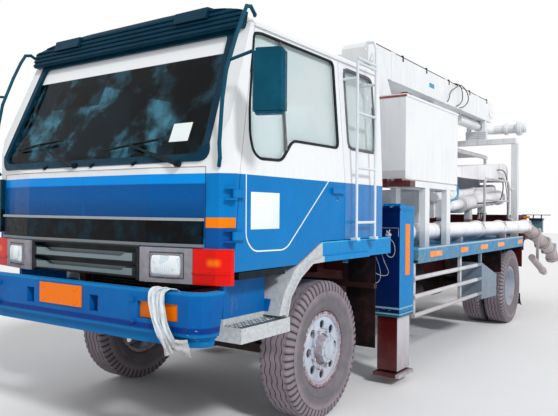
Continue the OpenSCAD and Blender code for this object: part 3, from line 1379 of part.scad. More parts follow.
// Handrails, boom rest and service platform
module handrails() {
    rest_y = column_y + 4050;
    r = 17;
    z0 = deck_z + seat;
    x = 850;
    top = 2060;
    floor_y = [cab_y + 5850, cab_y + 7620];
    floor_z = [2440, 2480, 2496];
    color([0.7, 0.72, 0.74]) union() {
        for (s = [-1, 1]) {
            block([s * 880 - 50, s * 880 + 50], [rest_y - 50, rest_y + 50], [frame_z + 115 + seat, 2701]);
            tube([[s * x, cab_y + 6270, z0], [s * x, cab_y + 6270, top - 70], [s * x, cab_y + 6340, top],
                  [s * x, cab_y + 7510, top], [s * x, cab_y + 7580, top - 70], [s * x, cab_y + 7580, 1480],
                  [s * x, rest_y - 20, 1440]], r);
            bar([s * x, cab_y + 6270, 1750], [s * x, cab_y + 7580, 1750], r - 3);
            bar([s * x, cab_y + 7550, 1950], [s * x, rest_y, 1950], r);
        }
        block([-900, 900], [rest_y - 60, rest_y + 60], [2700, 2785]);
        difference() {
            block([boom_1_x - 170, boom_1_x + 170], [rest_y - 55, rest_y + 55], [2784, 2932 - seat]);
            for (z = [2806 : 30 : 2900], e = [-1, 1])
                block([boom_1_x - 180, boom_1_x + 180], [rest_y + e * 55 - 14, rest_y + e * 55 + 14], [z, z + 14]);
        }
        block([-880, 880], [rest_y - 40, rest_y + 40], [frame_z + 115 + seat, frame_z + 200]);
    }
    color([0.7, 0.72, 0.74]) union() {
        for (e = [-500, 460])
            block([e, e + 40], floor_y, [floor_z[0], floor_z[1]]);
        for (y = [floor_y[0] : 65 : floor_y[1] - 30])
            block([-500, 500], [y, y + 34], [floor_z[1] - 4, floor_z[2]]);
        for (e = [-500, 460], y = [floor_y[0] + 60, floor_y[1] - 100])
            prism_x([for (p = [y, y + 40]) [p, hood_z + 138 + seat + (p - cab_y - pump_at - 360) * hood_rise],
                     [y + 40, floor_z[0] + 1], [y, floor_z[0] + 1]], e, e + 40);
    }
}

chassis_frame();
axles();
drive_line();
chassis_tanks();
knuckle(1);  // knuckle_left
knuckle(-1);  // knuckle_right
rim_front(1);  // rim_front_left
rim_front(-1);  // rim_front_right
tyre(front_track / 2, front_axle_y);  // tyre_front_left
tyre(-front_track / 2, front_axle_y);  // tyre_front_right
rim_rear(1);  // rim_rear_left
rim_rear(-1);  // rim_rear_right
for (s = [-1, 1]) tyre((rear_track + s * twin_pitch) / 2, rear_axle_y);  // tyre_rear_left
for (s = [-1, 1]) tyre(-(rear_track + s * twin_pitch) / 2, rear_axle_y);  // tyre_rear_right
cab_floor();
cab_front();
cab_roof();
cab_back();
door(1);  // door_left
door(-1);  // door_right
door_glass(1);  // door_glass_left
door_glass(-1);  // door_glass_right
cab_glass();
cab_interior();
front_trim();
grille();
lamps();
signal_lamps();
bumper();
mirrors();
ladder();
fenders();
mud_flaps();
pump_frame();
deck();
side_guards();
water_tanks();
outrigger(1);  // outrigger_left
outrigger(-1);  // outrigger_right
jack(1);  // jack_left
jack(-1);  // jack_right
turret();
boom_1();
boom_2();
boom_3();
luff_barrel();
luff_rod();
delivery_pipe();
pump_unit();
hopper();
hopper_grate();
handrails();
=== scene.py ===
import json
import math
import bpy
from mathutils import Matrix, Vector


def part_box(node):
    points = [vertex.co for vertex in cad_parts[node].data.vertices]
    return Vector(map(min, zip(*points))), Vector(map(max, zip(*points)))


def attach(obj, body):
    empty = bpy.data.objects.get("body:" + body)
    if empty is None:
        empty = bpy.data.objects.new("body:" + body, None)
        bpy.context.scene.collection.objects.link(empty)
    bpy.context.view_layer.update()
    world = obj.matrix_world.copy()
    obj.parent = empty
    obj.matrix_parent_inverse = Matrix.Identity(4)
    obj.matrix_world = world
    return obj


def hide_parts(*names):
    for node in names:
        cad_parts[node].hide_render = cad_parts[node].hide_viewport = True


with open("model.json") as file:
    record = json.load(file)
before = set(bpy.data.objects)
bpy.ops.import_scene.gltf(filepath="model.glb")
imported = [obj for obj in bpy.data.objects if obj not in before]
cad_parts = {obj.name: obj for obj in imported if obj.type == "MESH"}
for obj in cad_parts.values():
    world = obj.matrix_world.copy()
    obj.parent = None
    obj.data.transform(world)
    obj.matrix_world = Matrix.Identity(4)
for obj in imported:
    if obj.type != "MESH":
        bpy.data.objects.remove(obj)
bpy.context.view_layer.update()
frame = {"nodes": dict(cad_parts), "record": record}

cabFront = -4.53        # Y of the cab's front panel
print("frame loaded:", len(frame["nodes"]), "nodes")


# camera, solved from the photograph

cameraValues = {
    "place": (3.489, -7.241, 1.566),
    "turn": 34.557,      # degrees towards the right of the truck
    "tilt": 0.204,
    "roll": 0.528,
    "lens": 40.112,
    "shift": (-0.0022, 0.0010),
    "sensor": 36,
    "farthest": 200,
}


def setCamera(values):
    turn, tilt, roll = (math.radians(values[k]) for k in ("turn", "tilt", "roll"))
    ahead = Vector((-math.sin(turn) * math.cos(tilt), math.cos(turn) * math.cos(tilt), math.sin(tilt)))
    side = Vector((math.cos(turn), math.sin(turn), 0))
    up = side.cross(ahead)
    right = side * math.cos(roll) + up * math.sin(roll)
    top = up * math.cos(roll) - side * math.sin(roll)
    bpy.ops.object.camera_add()
    camera = bpy.context.object
    camera.name = "photoCamera"
    camera.matrix_world = Matrix((
        (right.x, top.x, -ahead.x, values["place"][0]),
        (right.y, top.y, -ahead.y, values["place"][1]),
        (right.z, top.z, -ahead.z, values["place"][2]),
        (0, 0, 0, 1),
    ))
    camera.data.sensor_width = values["sensor"]
    camera.data.lens = values["lens"]
    camera.data.shift_x, camera.data.shift_y = values["shift"]
    camera.data.clip_end = values["farthest"]
    bpy.context.scene.camera = camera


setCamera(cameraValues)
print("camera set")


# node helpers for the finishes

def feed(tree, node, inputs):
    # an input takes a link or a plain value
    for key, value in inputs.items():
        if isinstance(value, bpy.types.NodeSocket):
            tree.links.new(value, node.inputs[key])
        else:
            node.inputs[key].default_value = value


def addNode(tree, kind, attributes=None, inputs=None):
    node = tree.nodes.new(kind)
    for key, value in (attributes or {}).items():
        setattr(node, key, value)
    feed(tree, node, inputs or {})
    return node


def openMaterial(name):
    material = bpy.data.materials.new(name)
    material.use_nodes = True
    tree = material.node_tree
    return material, tree, tree.nodes["Principled BSDF"]


def objectPlace(tree):
    found = [n for n in tree.nodes if n.type == "TEX_COORD"]
    node = found[0] if found else tree.nodes.new("ShaderNodeTexCoord")
    return node.outputs["Object"]


def axisPlace(tree, axis):
    found = [n for n in tree.nodes if n.type == "SEPXYZ"]
    node = found[0] if found else addNode(tree, "ShaderNodeSeparateXYZ", None, {0: objectPlace(tree)})
    return node.outputs["XYZ".index(axis)]


def grain(tree, scale, detail=4.0, rough=0.6, stretch=None):
    place = objectPlace(tree)
    if stretch:
        place = addNode(tree, "ShaderNodeMapping", None, {"Vector": place, "Scale": stretch}).outputs[0]
    return addNode(tree, "ShaderNodeTexNoise", None,
                   {"Vector": place, "Scale": scale, "Detail": detail, "Roughness": rough}).outputs["Fac"]


def fade(tree, value, low, high, first=0.0, last=1.0):
    ends = {"Value": value, "From Min": low, "From Max": high, "To Min": first, "To Max": last}
    return addNode(tree, "ShaderNodeMapRange", {"interpolation_type": "SMOOTHSTEP"}, ends).outputs[0]


def calc(tree, kind, a, b=0.0, clamp=True):
    return addNode(tree, "ShaderNodeMath", {"operation": kind, "use_clamp": clamp}, {0: a, 1: b}).outputs[0]


def times(tree, a, b, clamp=True):
    return calc(tree, "MULTIPLY", a, b, clamp)


def blendColors(tree, factor, a, b):
    a, b = (c if isinstance(c, bpy.types.NodeSocket) else (*c, 1.0) for c in (a, b))
    return addNode(tree, "ShaderNodeMix", {"data_type": "RGBA"}, {0: factor, 6: a, 7: b}).outputs[2]


def zone(tree, low, high, soft=0.002):
    # 1 inside the box from low to high, in metres; None leaves a side open, X from 0 up counts on both sides
    total = None
    for axis in range(3):
        place = axisPlace(tree, "XYZ"[axis])
        if axis == 0 and low[0] is not None and low[0] >= 0:
            place = calc(tree, "ABSOLUTE", place, 0.0, False)
        for edge, sign in ((low[axis], 1), (high[axis], -1)):
            if edge is None:
                continue
            part = fade(tree, place, edge - soft * sign, edge + soft * sign)
            total = part if total is None else times(tree, total, part)
    return total


def between(bottom, top):
    return (None, None, bottom), (None, None, top)        # corners of a zone that is open at its sides


def tintZones(tree, colour, values):
    for low, high, soft, tint in values.get("zones", ()):
        colour = blendColors(tree, zone(tree, low, high, soft), colour, tint)
    return colour


def wheelReach(tree, wheels):
    # distance from the nearest wheel's middle, for marks that run round it
    nearest = None
    for y, z in wheels:
        across = calc(tree, "SUBTRACT", axisPlace(tree, "Y"), y, False)
        up = calc(tree, "SUBTRACT", axisPlace(tree, "Z"), z, False)
        square = calc(tree, "ADD", times(tree, across, across, False), times(tree, up, up, False), False)
        reach = calc(tree, "SQRT", square, 0.0, False)
        nearest = reach if nearest is None else calc(tree, "MINIMUM", nearest, reach, False)
    return nearest


def bump(tree, shader, height, strength, distance=0.002):
    node = addNode(tree, "ShaderNodeBump", None, {"Height": height, "Strength": strength, "Distance": distance})
    feed(tree, shader, {"Normal": node.outputs[0]})


# finishes; scales are in waves a metre, and what several share stands above each kind

commonPaint = dict(
    streaks=0.35, splash=0.3, roughness=0.5, coat=0.0, coatRoughness=0.12, specular=0.5, dirtHeights=(1.1, 1.5),
    patchScale=1.6, chipScale=46.0, streakScale=9.0, scuffScale=34.0, glossScale=14.0, bumpScale=220.0,
)


def paintFinish(name, values):
    values = commonPaint | values
    material, tree, shader = openMaterial(name)
    broad = grain(tree, values["patchScale"], 5.0)
    fine = grain(tree, values["chipScale"], 6.0, 0.7)
    colour = blendColors(tree, fade(tree, broad, 0.35, 0.7), values["colour"], values["faded"])
    colour = tintZones(tree, colour, values)
    if "rings" in values:
        reach = wheelReach(tree, values["wheels"])
        for low, high, soft, tint in values["rings"]:
            ring = times(tree, fade(tree, reach, low - soft, low + soft),
                         fade(tree, reach, high + soft, high - soft))
            colour = blendColors(tree, times(tree, ring, fade(tree, fine, 0.35, 0.6)), colour, tint)
    streaks = grain(tree, values["streakScale"], 4.0, 0.7, (1.0, 1.0, 0.12))
    dirt = times(tree, fade(tree, streaks, 0.48, 0.78), values["streaks"])
    low, high = values["dirtHeights"]
    splash = times(tree, fade(tree, axisPlace(tree, "Z"), high, low), fade(tree, broad, 0.25, 0.65))
    splash = times(tree, splash, values["splash"])
    colour = blendColors(tree, calc(tree, "ADD", dirt, splash), colour, values["dirt"])
    chips = fade(tree, fine, values["chipFrom"], values["chipFrom"] + 0.03)
    chips = times(tree, chips, fade(tree, broad, 0.4, 0.6))
    for low, high, soft, amount in values.get("scuffs", ()):
        scuff = grain(tree, values["scuffScale"], 7.0, 0.75, (1, 1, 2.2))
        scuff = fade(tree, scuff, 0.62 - amount * 0.2, 0.66 - amount * 0.2)
        chips = calc(tree, "MAXIMUM", chips, times(tree, zone(tree, low, high, soft), scuff))
    colour = blendColors(tree, chips, colour, values["chip"])
    low, high = values["roughness"] - 0.08, values["roughness"] + 0.14
    rough = fade(tree, grain(tree, values["glossScale"], 5.0), 0.3, 0.75, low, high)
    rough = calc(tree, "ADD", rough, times(tree, calc(tree, "ADD", chips, dirt), 0.3))
    feed(tree, shader, {"Base Color": colour, "Roughness": rough, "Coat Weight": values["coat"],
                        "Coat Roughness": values["coatRoughness"], "Specular IOR Level": values["specular"]})
    bump(tree, shader, grain(tree, values["bumpScale"], 2.0), 0.12, 0.0006)
    return material


commonMetal = dict(specular=0.5, patchScale=2.4, stainScale=11.0, glossScale=25.0, bumpScale=90.0)


def metalFinish(name, values):
    values = commonMetal | values
    material, tree, shader = openMaterial(name)
    spangle = addNode(tree, "ShaderNodeTexVoronoi", None,
                      {"Vector": objectPlace(tree), "Scale": values["spangle"]})
    cells = addNode(tree, "ShaderNodeSeparateColor", None, {0: spangle.outputs["Color"]}).outputs[0]
    colour = tintZones(tree, blendColors(tree, cells, values["colour"], values["second"]), values)
    stain = fade(tree, grain(tree, values["stainScale"], 6.0, 0.72, (1, 1, 0.3)), values["stainFrom"], 0.8)
    stain = times(tree, stain, fade(tree, grain(tree, values["patchScale"], 6.0, 0.65), 0.3, 0.6))
    colour = blendColors(tree, stain, colour, values["stain"])
    low, high = values["roughness"] - 0.08, values["roughness"] + 0.12
    rough = fade(tree, grain(tree, values["glossScale"], 5.0), 0.3, 0.7, low, high)
    feed(tree, shader, {"Base Color": colour, "Roughness": rough, "Metallic": values["metallic"],
                        "Specular IOR Level": values["specular"]})
    bump(tree, shader, grain(tree, values["bumpScale"], 4.0), 0.2, 0.001)
    return material


commonRubber = dict(roughness=(0.62, 0.85), specular=0.3, dustScale=7.0, glossScale=30.0, bumpScale=160.0)


def rubberFinish(name, values):
    values = commonRubber | values
    material, tree, shader = openMaterial(name)
    dust = times(tree, fade(tree, grain(tree, values["dustScale"], 7.0, 0.7), 0.42, 0.75), values["dustAmount"])
    colour = blendColors(tree, dust, tintZones(tree, values["colour"], values), values["dust"])
    rough = fade(tree, grain(tree, values["glossScale"], 4.0), 0.3, 0.7, *values["roughness"])
    feed(tree, shader, {"Base Color": colour, "Roughness": rough, "Specular IOR Level": values["specular"]})
    bump(tree, shader, grain(tree, values["bumpScale"], 3.0), 0.3, 0.0008)
    return material


def treadFinish(name, values):
    # the attribute wear is 0 in the grooves, 0.5 on the sidewall and 1 on the tread
    material, tree, shader = openMaterial(name)
    wear = addNode(tree, "ShaderNodeAttribute", {"attribute_name": "wear"}).outputs["Fac"]
    dusty = fade(tree, grain(tree, 8.0, 7.0, 0.72), 0.3, 0.75)
    side = blendColors(tree, dusty, values["side"], values["sideDust"])
    top = blendColors(tree, dusty, values["tread"], values["treadDust"])
    colour = blendColors(tree, fade(tree, wear, 0.1, 0.4), values["groove"], side)
    colour = blendColors(tree, fade(tree, wear, 0.6, 0.95), colour, top)
    rough = fade(tree, dusty, 0.0, 1.0, 0.62, 0.9)
    feed(tree, shader, {"Base Color": colour, "Roughness": rough, "Specular IOR Level": 0.25})
    bump(tree, shader, grain(tree, 150.0, 3.0), 0.35, 0.0008)
    return material


def glassFinish(name, values):
    material, tree, shader = openMaterial(name)
    # noise blend of the tint with a second colour: painted reflection blotches on the glass
    colour = blendColors(tree, fade(tree, grain(tree, 3.0, 5.0), 0.46, 0.64), values["tint"], values["second"])
    through = values["through"]
    rough = fade(tree, grain(tree, 6.0, 6.0, 0.7), 0.45, 0.8, 0.01, 0.08)
    if "band" in values:
        band = zone(tree, *values["band"])
        rear = zone(tree, *values["rear"])
        # rear zone, the quarter windows: painted pale and less see-through, a painted reflection of the bright
        # surroundings
        colour = blendColors(tree, rear, colour, values["rearReflectionColour"])
        colour = blendColors(tree, band, colour, values["bandColour"])
        through = times(tree, calc(tree, "SUBTRACT", 1.0, band), through)
        through = times(tree, fade(tree, rear, 0.0, 1.0, 1.0, 0.55), through)
        rough = calc(tree, "ADD", rough, times(tree, band, 0.3))
    feed(tree, shader, {"Base Color": colour, "Roughness": rough, "Transmission Weight": through,
                        "IOR": values["ior"]})
    return material


def clothFinish(name, values):
    material, tree, shader = openMaterial(name)
    place = objectPlace(tree)
    waves = {"Vector": place, "Scale": values["weave"], "Distortion": 0.6}
    x, y, z = (addNode(tree, "ShaderNodeTexWave", {"bands_direction": axis},
                       waves).outputs["Fac"] for axis in "XYZ")
    weave = times(tree, calc(tree, "ADD", calc(tree, "ADD", x, y, False), z, False), 0.33)
    soil = fade(tree, grain(tree, values["soilScale"], 6.0, 0.7), 0.42, 0.72)
    colour = blendColors(tree, soil, values["colour"], values["soiled"])
    for low, high, soft, tint in values.get("zones", ()):
        amount = times(tree, zone(tree, low, high, soft), fade(tree, soil, 0.0, 1.0, 0.5, 1.0))
        colour = blendColors(tree, amount, colour, tint)
    if values.get("ribbed"):
        colour = blendColors(tree, fade(tree, weave, 0.2, 0.8), colour, [c * 0.8 for c in values["colour"]])
    feed(tree, shader, {"Base Color": colour, "Roughness": 0.9, "Sheen Weight": 0.2})
    bump(tree, shader, weave, 0.4, 0.0008)
    return material


white = (0.80, 0.82, 0.835)
sideBlue = (0.001, 0.175, 0.49)
brightBlue = (0.001, 0.27, 0.78)
# painted shade for the front panel, which faces away from the sun
frontShadeNavy = (0.001, 0.072, 0.25)
finishes = {
    "cab_paint": paintFinish("cabBlue", dict(
        colour=sideBlue, faded=(0.001, 0.21, 0.56), patchScale=0.9,
        zones=[(*between(1.785, None), 0.001, white)],
        streaks=0.06, splash=0.2, dirt=(0.06, 0.08, 0.11),
        chip=(0.32, 0.42, 0.50), chipFrom=0.74, roughness=0.32, specular=0.09,
    )),
    "cab_front": paintFinish("frontBlue", dict(
        colour=sideBlue, faded=(0.001, 0.20, 0.55), patchScale=0.9,
        zones=[
            # navy band with a softer, lighter top: painted shade on the front panel, darker low and lighter
            # higher up
            ((0, None, 1.39), (1.03, -4.2, 1.74), 0.012, frontShadeNavy),
            ((0, None, 1.60), (1.03, -4.2, 1.74), 0.05, (0.001, 0.095, 0.33)),
            ((0, None, 1.725), (1.03, -4.2, 1.80), 0.006, brightBlue),
            ((1.03, None, 1.34), (None, -4.34, 1.462), 0.001, (0.001, 0.085, 0.33)),
            ((1.03, None, 1.462), (None, -4.365, 1.522), 0.0008, (0.95, 0.22, 0.003)),
            (*between(1.785, None), 0.001, white),
        ],
        streaks=0.06, splash=0.1, dirt=(0.06, 0.08, 0.11),
        chip=(0.32, 0.42, 0.50), chipFrom=0.74, roughness=0.32, specular=0.09,
    )),
    "white_paint": paintFinish("cabWhite", dict(
        colour=white, faded=(0.75, 0.78, 0.81),
        zones=[(*between(None, 1.785), 0.001, sideBlue)],
        streaks=0.10, splash=0.1, dirt=(0.36, 0.37, 0.38),
        chip=(0.25, 0.08, 0.05), chipFrom=0.73, roughness=0.35, coat=0.2, specular=0.35,
    )),
    "machine_paint": paintFinish("machineWhite", dict(
        colour=(0.81, 0.83, 0.845), faded=(0.75, 0.78, 0.81),
        streaks=0.14, splash=0.1, dirt=(0.33, 0.34, 0.36), dirtHeights=(0.9, 1.5),
        chip=(0.20, 0.06, 0.04), chipFrom=0.71, roughness=0.42, coat=0.1,
    )),
    "water_tanks": paintFinish("tankWhite", dict(
        colour=(0.81, 0.83, 0.84), faded=(0.77, 0.79, 0.81),
        zones=[
            # paler front face: painted light that lifts the shade on the face turned from the sun
            ((None, None, None), (None, -1.412, 2.74), 0.004, (0.86, 0.86, 0.88)),
            ((None, None, None), (None, -1.412, 1.985), 0.006, (0.09, 0.008, 0.008)),
            ((None, None, 1.815), (None, -1.30, 1.885), 0.004, (0.11, 0.012, 0.010)),
            ((None, None, 2.725), (None, -1.40, 2.745), 0.003, (0.34, 0.05, 0.04)),
            (*between(1.20, 1.36), 0.05, (0.55, 0.60, 0.63)),
        ],
        streaks=0.28, dirt=(0.42, 0.42, 0.44), dirtHeights=(1.1, 1.6),
        chip=(0.20, 0.05, 0.04), chipFrom=0.70, roughness=0.42, coat=0.1,
    )),
    "pump_unit": paintFinish("pumpWhite", dict(
        colour=(0.84, 0.85, 0.87), faded=(0.68, 0.68, 0.71),
        zones=[(*between(None, 1.47), 0.01, (0.13, 0.02, 0.018))],
        splash=0.4, dirt=(0.26, 0.21, 0.22), dirtHeights=(1.5, 1.9),
        chip=(0.17, 0.03, 0.03), chipFrom=0.66, roughness=0.48, coat=0.05,
    )),
    "delivery_pipe": paintFinish("pipeWhite", dict(
        colour=(0.90, 0.91, 0.92), faded=(0.80, 0.80, 0.83), patchScale=3.0,
        zones=[
            ((None, 3.24, None), (None, None, None), 0.02, (0.36, 0.33, 0.35)),
            # greyer below z 1.30: painted shade on the pipe's underside
            (*between(None, 1.30), 0.03, (0.50, 0.46, 0.47)),
        ],
        # the dark red splash low on the pipe, from z 1.34 down to 1.20, is partly dirt and partly painted shade
        # on its underside
        streaks=0.22, splash=0.5, dirt=(0.15, 0.08, 0.075), dirtHeights=(1.20, 1.34),
        chip=(0.12, 0.03, 0.03), chipFrom=0.64, roughness=0.45, coat=0.05,
    )),
    "deep_blue": paintFinish("frameBlue", dict(
        colour=(0.001, 0.092, 0.34), faded=(0.001, 0.14, 0.45),
        zones=[((None, None, 0.872), (None, -4.35, 0.905), 0.006, (0.001, 0.035, 0.22)),
               ((None, None, 0.70), (None, -4.35, 0.868), 0.004, (0.001, 0.145, 0.40)),
               ((None, None, 1.085), (None, -4.35, 1.16), 0.006, (0.001, 0.20, 0.52))],
        scuffs=[((1.03, None, 0.80), (1.17, -4.5, 0.93), 0.03, 0.02)],
        streaks=0.10, splash=0.15, dirt=(0.02, 0.05, 0.11), dirtHeights=(0.7, 1.0),
        chip=(0.25, 0.50, 0.66), chipFrom=0.73, roughness=0.40, specular=0.10,
    )),
    "outriggers": paintFinish("beamBlue", dict(
        colour=(0.001, 0.19, 0.49), faded=(0.001, 0.22, 0.54),
        zones=[
            # near-black navy on the front face: painted shade on the face turned from the sun
            ((None, None, None), (None, -2.0585, None), 0.0005, (0.001, 0.012, 0.085)),
            (*between(0.50, 0.655), 0.006, (0.010, 0.14, 0.22)),
            (*between(0.690, 0.706), 0.002, (0.22, 0.42, 0.55)),
            (*between(0.640, 0.652), 0.002, (0.25, 0.42, 0.52)),
        ],
        scuffs=[((None, -2.2, 0.60), (None, None, 0.70), 0.03, 0.16),
                ((None, -2.2, 1.60), (None, None, 1.64), 0.01, 0.25)],
        streaks=0.12, splash=0.2, dirt=(0.04, 0.05, 0.07), dirtHeights=(0.6, 0.9),
        chip=(0.30, 0.52, 0.64), chipFrom=0.72, roughness=0.40, specular=0.10,
    )),
    "deck": paintFinish("deckBlue", dict(
        colour=(0.010, 0.23, 0.50), faded=(0.08, 0.29, 0.44), patchScale=4.0,
        zones=[((None, None, 1.262), (1.5, None, None), 0.002, (0.20, 0.17, 0.18)),
               (*between(1.205, 1.222), 0.003, (0.46, 0.54, 0.60))],
        scuffs=[((1.17, -1.6, 1.06), (None, 2.6, 1.24), 0.01, 0.22)],
        dirt=(0.15, 0.12, 0.13), dirtHeights=(1.1, 1.3),
        chip=(0.45, 0.55, 0.60), chipFrom=0.66, specular=0.15,
    )),
    "dark_red": paintFinish("oxideRed", dict(
        colour=(0.060, 0.006, 0.006), faded=(0.10, 0.014, 0.012),
        splash=0.4, dirt=(0.03, 0.018, 0.018), dirtHeights=(0.4, 1.3),
        chip=(0.30, 0.24, 0.24), chipFrom=0.70, roughness=0.55, specular=0.12,
    )),
    "jacks": paintFinish("jackLeg", dict(
        colour=(0.075, 0.004, 0.004), faded=(0.11, 0.010, 0.009),
        zones=[((1.19, None, None), (None, None, None), 0.001, (0.52, 0.50, 0.54))],
        splash=0.5, dirt=(0.14, 0.09, 0.10), dirtHeights=(0.1, 0.6),
        chip=(0.25, 0.08, 0.07), chipFrom=0.68, specular=0.10,
    )),
    "turret": paintFinish("turretRed", dict(
        colour=(0.060, 0.005, 0.005), faded=(0.09, 0.010, 0.009),
        zones=[(*between(2.35, None), 0.01, (0.80, 0.82, 0.84))],
        streaks=0.3, dirt=(0.05, 0.02, 0.02), dirtHeights=(1.0, 1.9),
        chip=(0.25, 0.20, 0.20), chipFrom=0.70, specular=0.12,
    )),
    "dark_steel": metalFinish("greasySteel", dict(
        colour=(0.020, 0.013, 0.013), second=(0.036, 0.024, 0.023), spangle=18.0,
        stain=(0.09, 0.03, 0.02), stainFrom=0.5, metallic=0.3, roughness=0.6, specular=0.3,
    )),
    "galvanised": metalFinish("galvanised", dict(
        colour=(0.44, 0.46, 0.48), second=(0.58, 0.61, 0.63), spangle=55.0,
        stain=(0.18, 0.10, 0.09), stainFrom=0.56, metallic=0.35, roughness=0.45,
    )),
    "ladder": paintFinish("ladderWhite", dict(
        colour=(0.70, 0.76, 0.80), faded=(0.60, 0.67, 0.72),
        streaks=0.15, splash=0.2, dirt=(0.30, 0.26, 0.26), dirtHeights=(1.2, 1.5),
        chip=(0.30, 0.20, 0.18), chipFrom=0.68, roughness=0.4, coat=0.1,
    )),
    "fenders": metalFinish("fenderMetal", dict(
        colour=(0.46, 0.48, 0.50), second=(0.56, 0.59, 0.61), spangle=55.0,
        zones=[
            ((0.88, -3.365, 1.13), (None, None, None), 0.002, (0.001, 0.23, 0.56)),
            # paler teal-blue on the top face: painted highlight on the upward face
            ((0.88, -3.5, 1.335), (None, None, None), 0.002, (0.04, 0.42, 0.70)),
            ((0.905, -4.31, 0.8585), (1.205, -3.83, 0.8615), 0.0006, (0.10, 0.115, 0.13)),
            ((0.9, None, 0.90), (1.10, -3.87, None), 0.002, (0.001, 0.125, 0.40)),
            ((0, -3.1, None), (None, None, 1.125), 0.002, (0.030, 0.012, 0.013)),
        ],
        stain=(0.20, 0.14, 0.14), stainFrom=0.60, metallic=0.0, roughness=0.42, specular=0.15,
    )),
    "handrails": paintFinish("railGrey", dict(
        colour=(0.42, 0.42, 0.45), faded=(0.55, 0.55, 0.58),
        zones=[((None, 3.16, None), (None, None, None), 0.002, (0.72, 0.74, 0.77)),
               (*between(2.60, None), 0.002, (0.72, 0.74, 0.77))],
        dirt=(0.15, 0.08, 0.08), dirtHeights=(1.2, 1.6),
        chip=(0.15, 0.05, 0.05), chipFrom=0.64,
    )),
    "side_guards": paintFinish("guardGrey", dict(
        colour=(0.50, 0.50, 0.53), faded=(0.64, 0.65, 0.67),
        zones=[((0.89, 0.3, None), (None, None, None), 0.003, (0.17, 0.24, 0.31))],
        splash=0.4, dirt=(0.17, 0.10, 0.10), dirtHeights=(0.5, 0.9),
        chip=(0.16, 0.05, 0.05), chipFrom=0.64,
    )),
    "grille": paintFinish("grilleGrey", dict(
        colour=(0.006, 0.009, 0.012), faded=(0.014, 0.018, 0.021),
        zones=[
            ((0, None, 1.340), (None, None, 1.37), 0.001, (0.20, 0.21, 0.22)),
            ((0, None, 1.495), (None, None, 1.53), 0.001, (0.34, 0.37, 0.40)),
            ((0, None, 1.150), (0.50, None, 1.195), 0.001, (0.22, 0.28, 0.30)),
            ((0, None, 1.240), (0.50, None, 1.290), 0.001, (0.22, 0.28, 0.30)),
        ],
        streaks=0.1, splash=0.2, dirt=(0.05, 0.045, 0.045), dirtHeights=(1.1, 1.3),
        chip=(0.4, 0.42, 0.44), chipFrom=0.75, roughness=0.4, specular=0.15,
    )),
    "rims": paintFinish("wheelSilver", dict(
        colour=(0.42, 0.50, 0.60), faded=(0.58, 0.66, 0.75), patchScale=4.0,
        wheels=((-3.155, 0.518), (1.975, 0.518)),
        rings=[(0.262, 0.32, 0.004, (0.20, 0.035, 0.035)), (0.243, 0.250, 0.003, (0.24, 0.05, 0.05)),
               (0.150, 0.158, 0.004, (0.22, 0.07, 0.065)),
                  (0.094, 0.118, 0.008, (0.34, 0.19, 0.18))],
        splash=0.35, dirt=(0.20, 0.07, 0.065), dirtHeights=(0.1, 0.9),
        chip=(0.25, 0.05, 0.05), chipFrom=0.63, roughness=0.38, coat=0.1,
    )),
    "bright_rod": metalFinish("chromeRod", dict(
        colour=(0.75, 0.76, 0.78), second=(0.82, 0.83, 0.85), spangle=6.0,
        stain=(0.35, 0.33, 0.30), stainFrom=0.7, metallic=1.0, roughness=0.16,
    )),
    "tyre": rubberFinish("flapRubber", dict(
        colour=(0.007, 0.004, 0.005), dust=(0.055, 0.018, 0.018), dustAmount=0.7, specular=0.15,
    )),
    "tread": treadFinish("tyreRubber", dict(
        groove=(0.012, 0.006, 0.008), side=(0.125, 0.115, 0.132), sideDust=(0.20, 0.18, 0.20),
        tread=(0.20, 0.17, 0.19), treadDust=(0.30, 0.25, 0.28),
    )),
    "windscreen": glassFinish("screenGlass", dict(
        # near-black tint with teal blotches: painted dark reflections on the windscreen
        tint=(0.010, 0.026, 0.040), second=(0.16, 0.50, 0.68), through=0.97, ior=1.16,
        # pale rear colour: painted reflection on the quarter windows
        rear=((None, -3.9, None), (None, None, None), 0.01), rearReflectionColour=(0.88, 0.97, 0.98),
        band=((-1.2, -4.45, 2.565), (1.2, -3.9, 2.80), 0.002), bandColour=(0.84, 0.86, 0.88),
    )),
    "glass": glassFinish("sideGlass", dict(
        # pale cyan, half see-through: painted reflection of the bright sky and backdrop in the side windows
        tint=(0.84, 0.97, 0.98), second=(0.90, 0.98, 0.99), through=0.5, ior=1.3,
    )),
    "dark_plastic": rubberFinish("blackTrim", dict(
        colour=(0.002, 0.008, 0.012), dust=(0.015, 0.035, 0.045), dustAmount=0.35, roughness=(0.35, 0.6),
        specular=0.15,
    )),
    "name_band": rubberFinish("bandBlack", dict(
        colour=(0.001, 0.030, 0.058), dust=(0.004, 0.05, 0.085), dustAmount=0.5, roughness=(0.3, 0.5),
        zones=[((0, None, 1.3), (None, None, 1.56), 0.002, (0.001, 0.001, 0.002))], specular=0.10,
    )),
    "mirrors": rubberFinish("mirrorPlastic", dict(
        colour=(0.001, 0.058, 0.10), dust=(0.004, 0.10, 0.16), dustAmount=0.6, roughness=(0.35, 0.55),
        specular=0.10,
    )),
    "cab_interior": rubberFinish("cabPlastic", dict(
        colour=(0.02, 0.035, 0.04), dust=(0.05, 0.07, 0.075), dustAmount=0.4,
        zones=[((None, None, 1.72), (None, -3.99, 1.90), 0.01, (0.06, 0.14, 0.17))],
    )),
    "seat_cloth": clothFinish("seatCloth", dict(
        colour=(0.035, 0.05, 0.06), soiled=(0.06, 0.07, 0.075), weave=260.0, soilScale=7.0, ribbed=True,
    )),
    "rag": clothFinish("ragCotton", dict(
        colour=(0.72, 0.78, 0.81), soiled=(0.50, 0.58, 0.62), weave=420.0, soilScale=22.0,
        zones=[(*between(None, 0.83), 0.06, (0.24, 0.18, 0.18))],
    )),
    "lamp_lens": metalFinish("lampChrome", dict(
        colour=(0.26, 0.25, 0.28), second=(0.32, 0.31, 0.34), spangle=30.0,
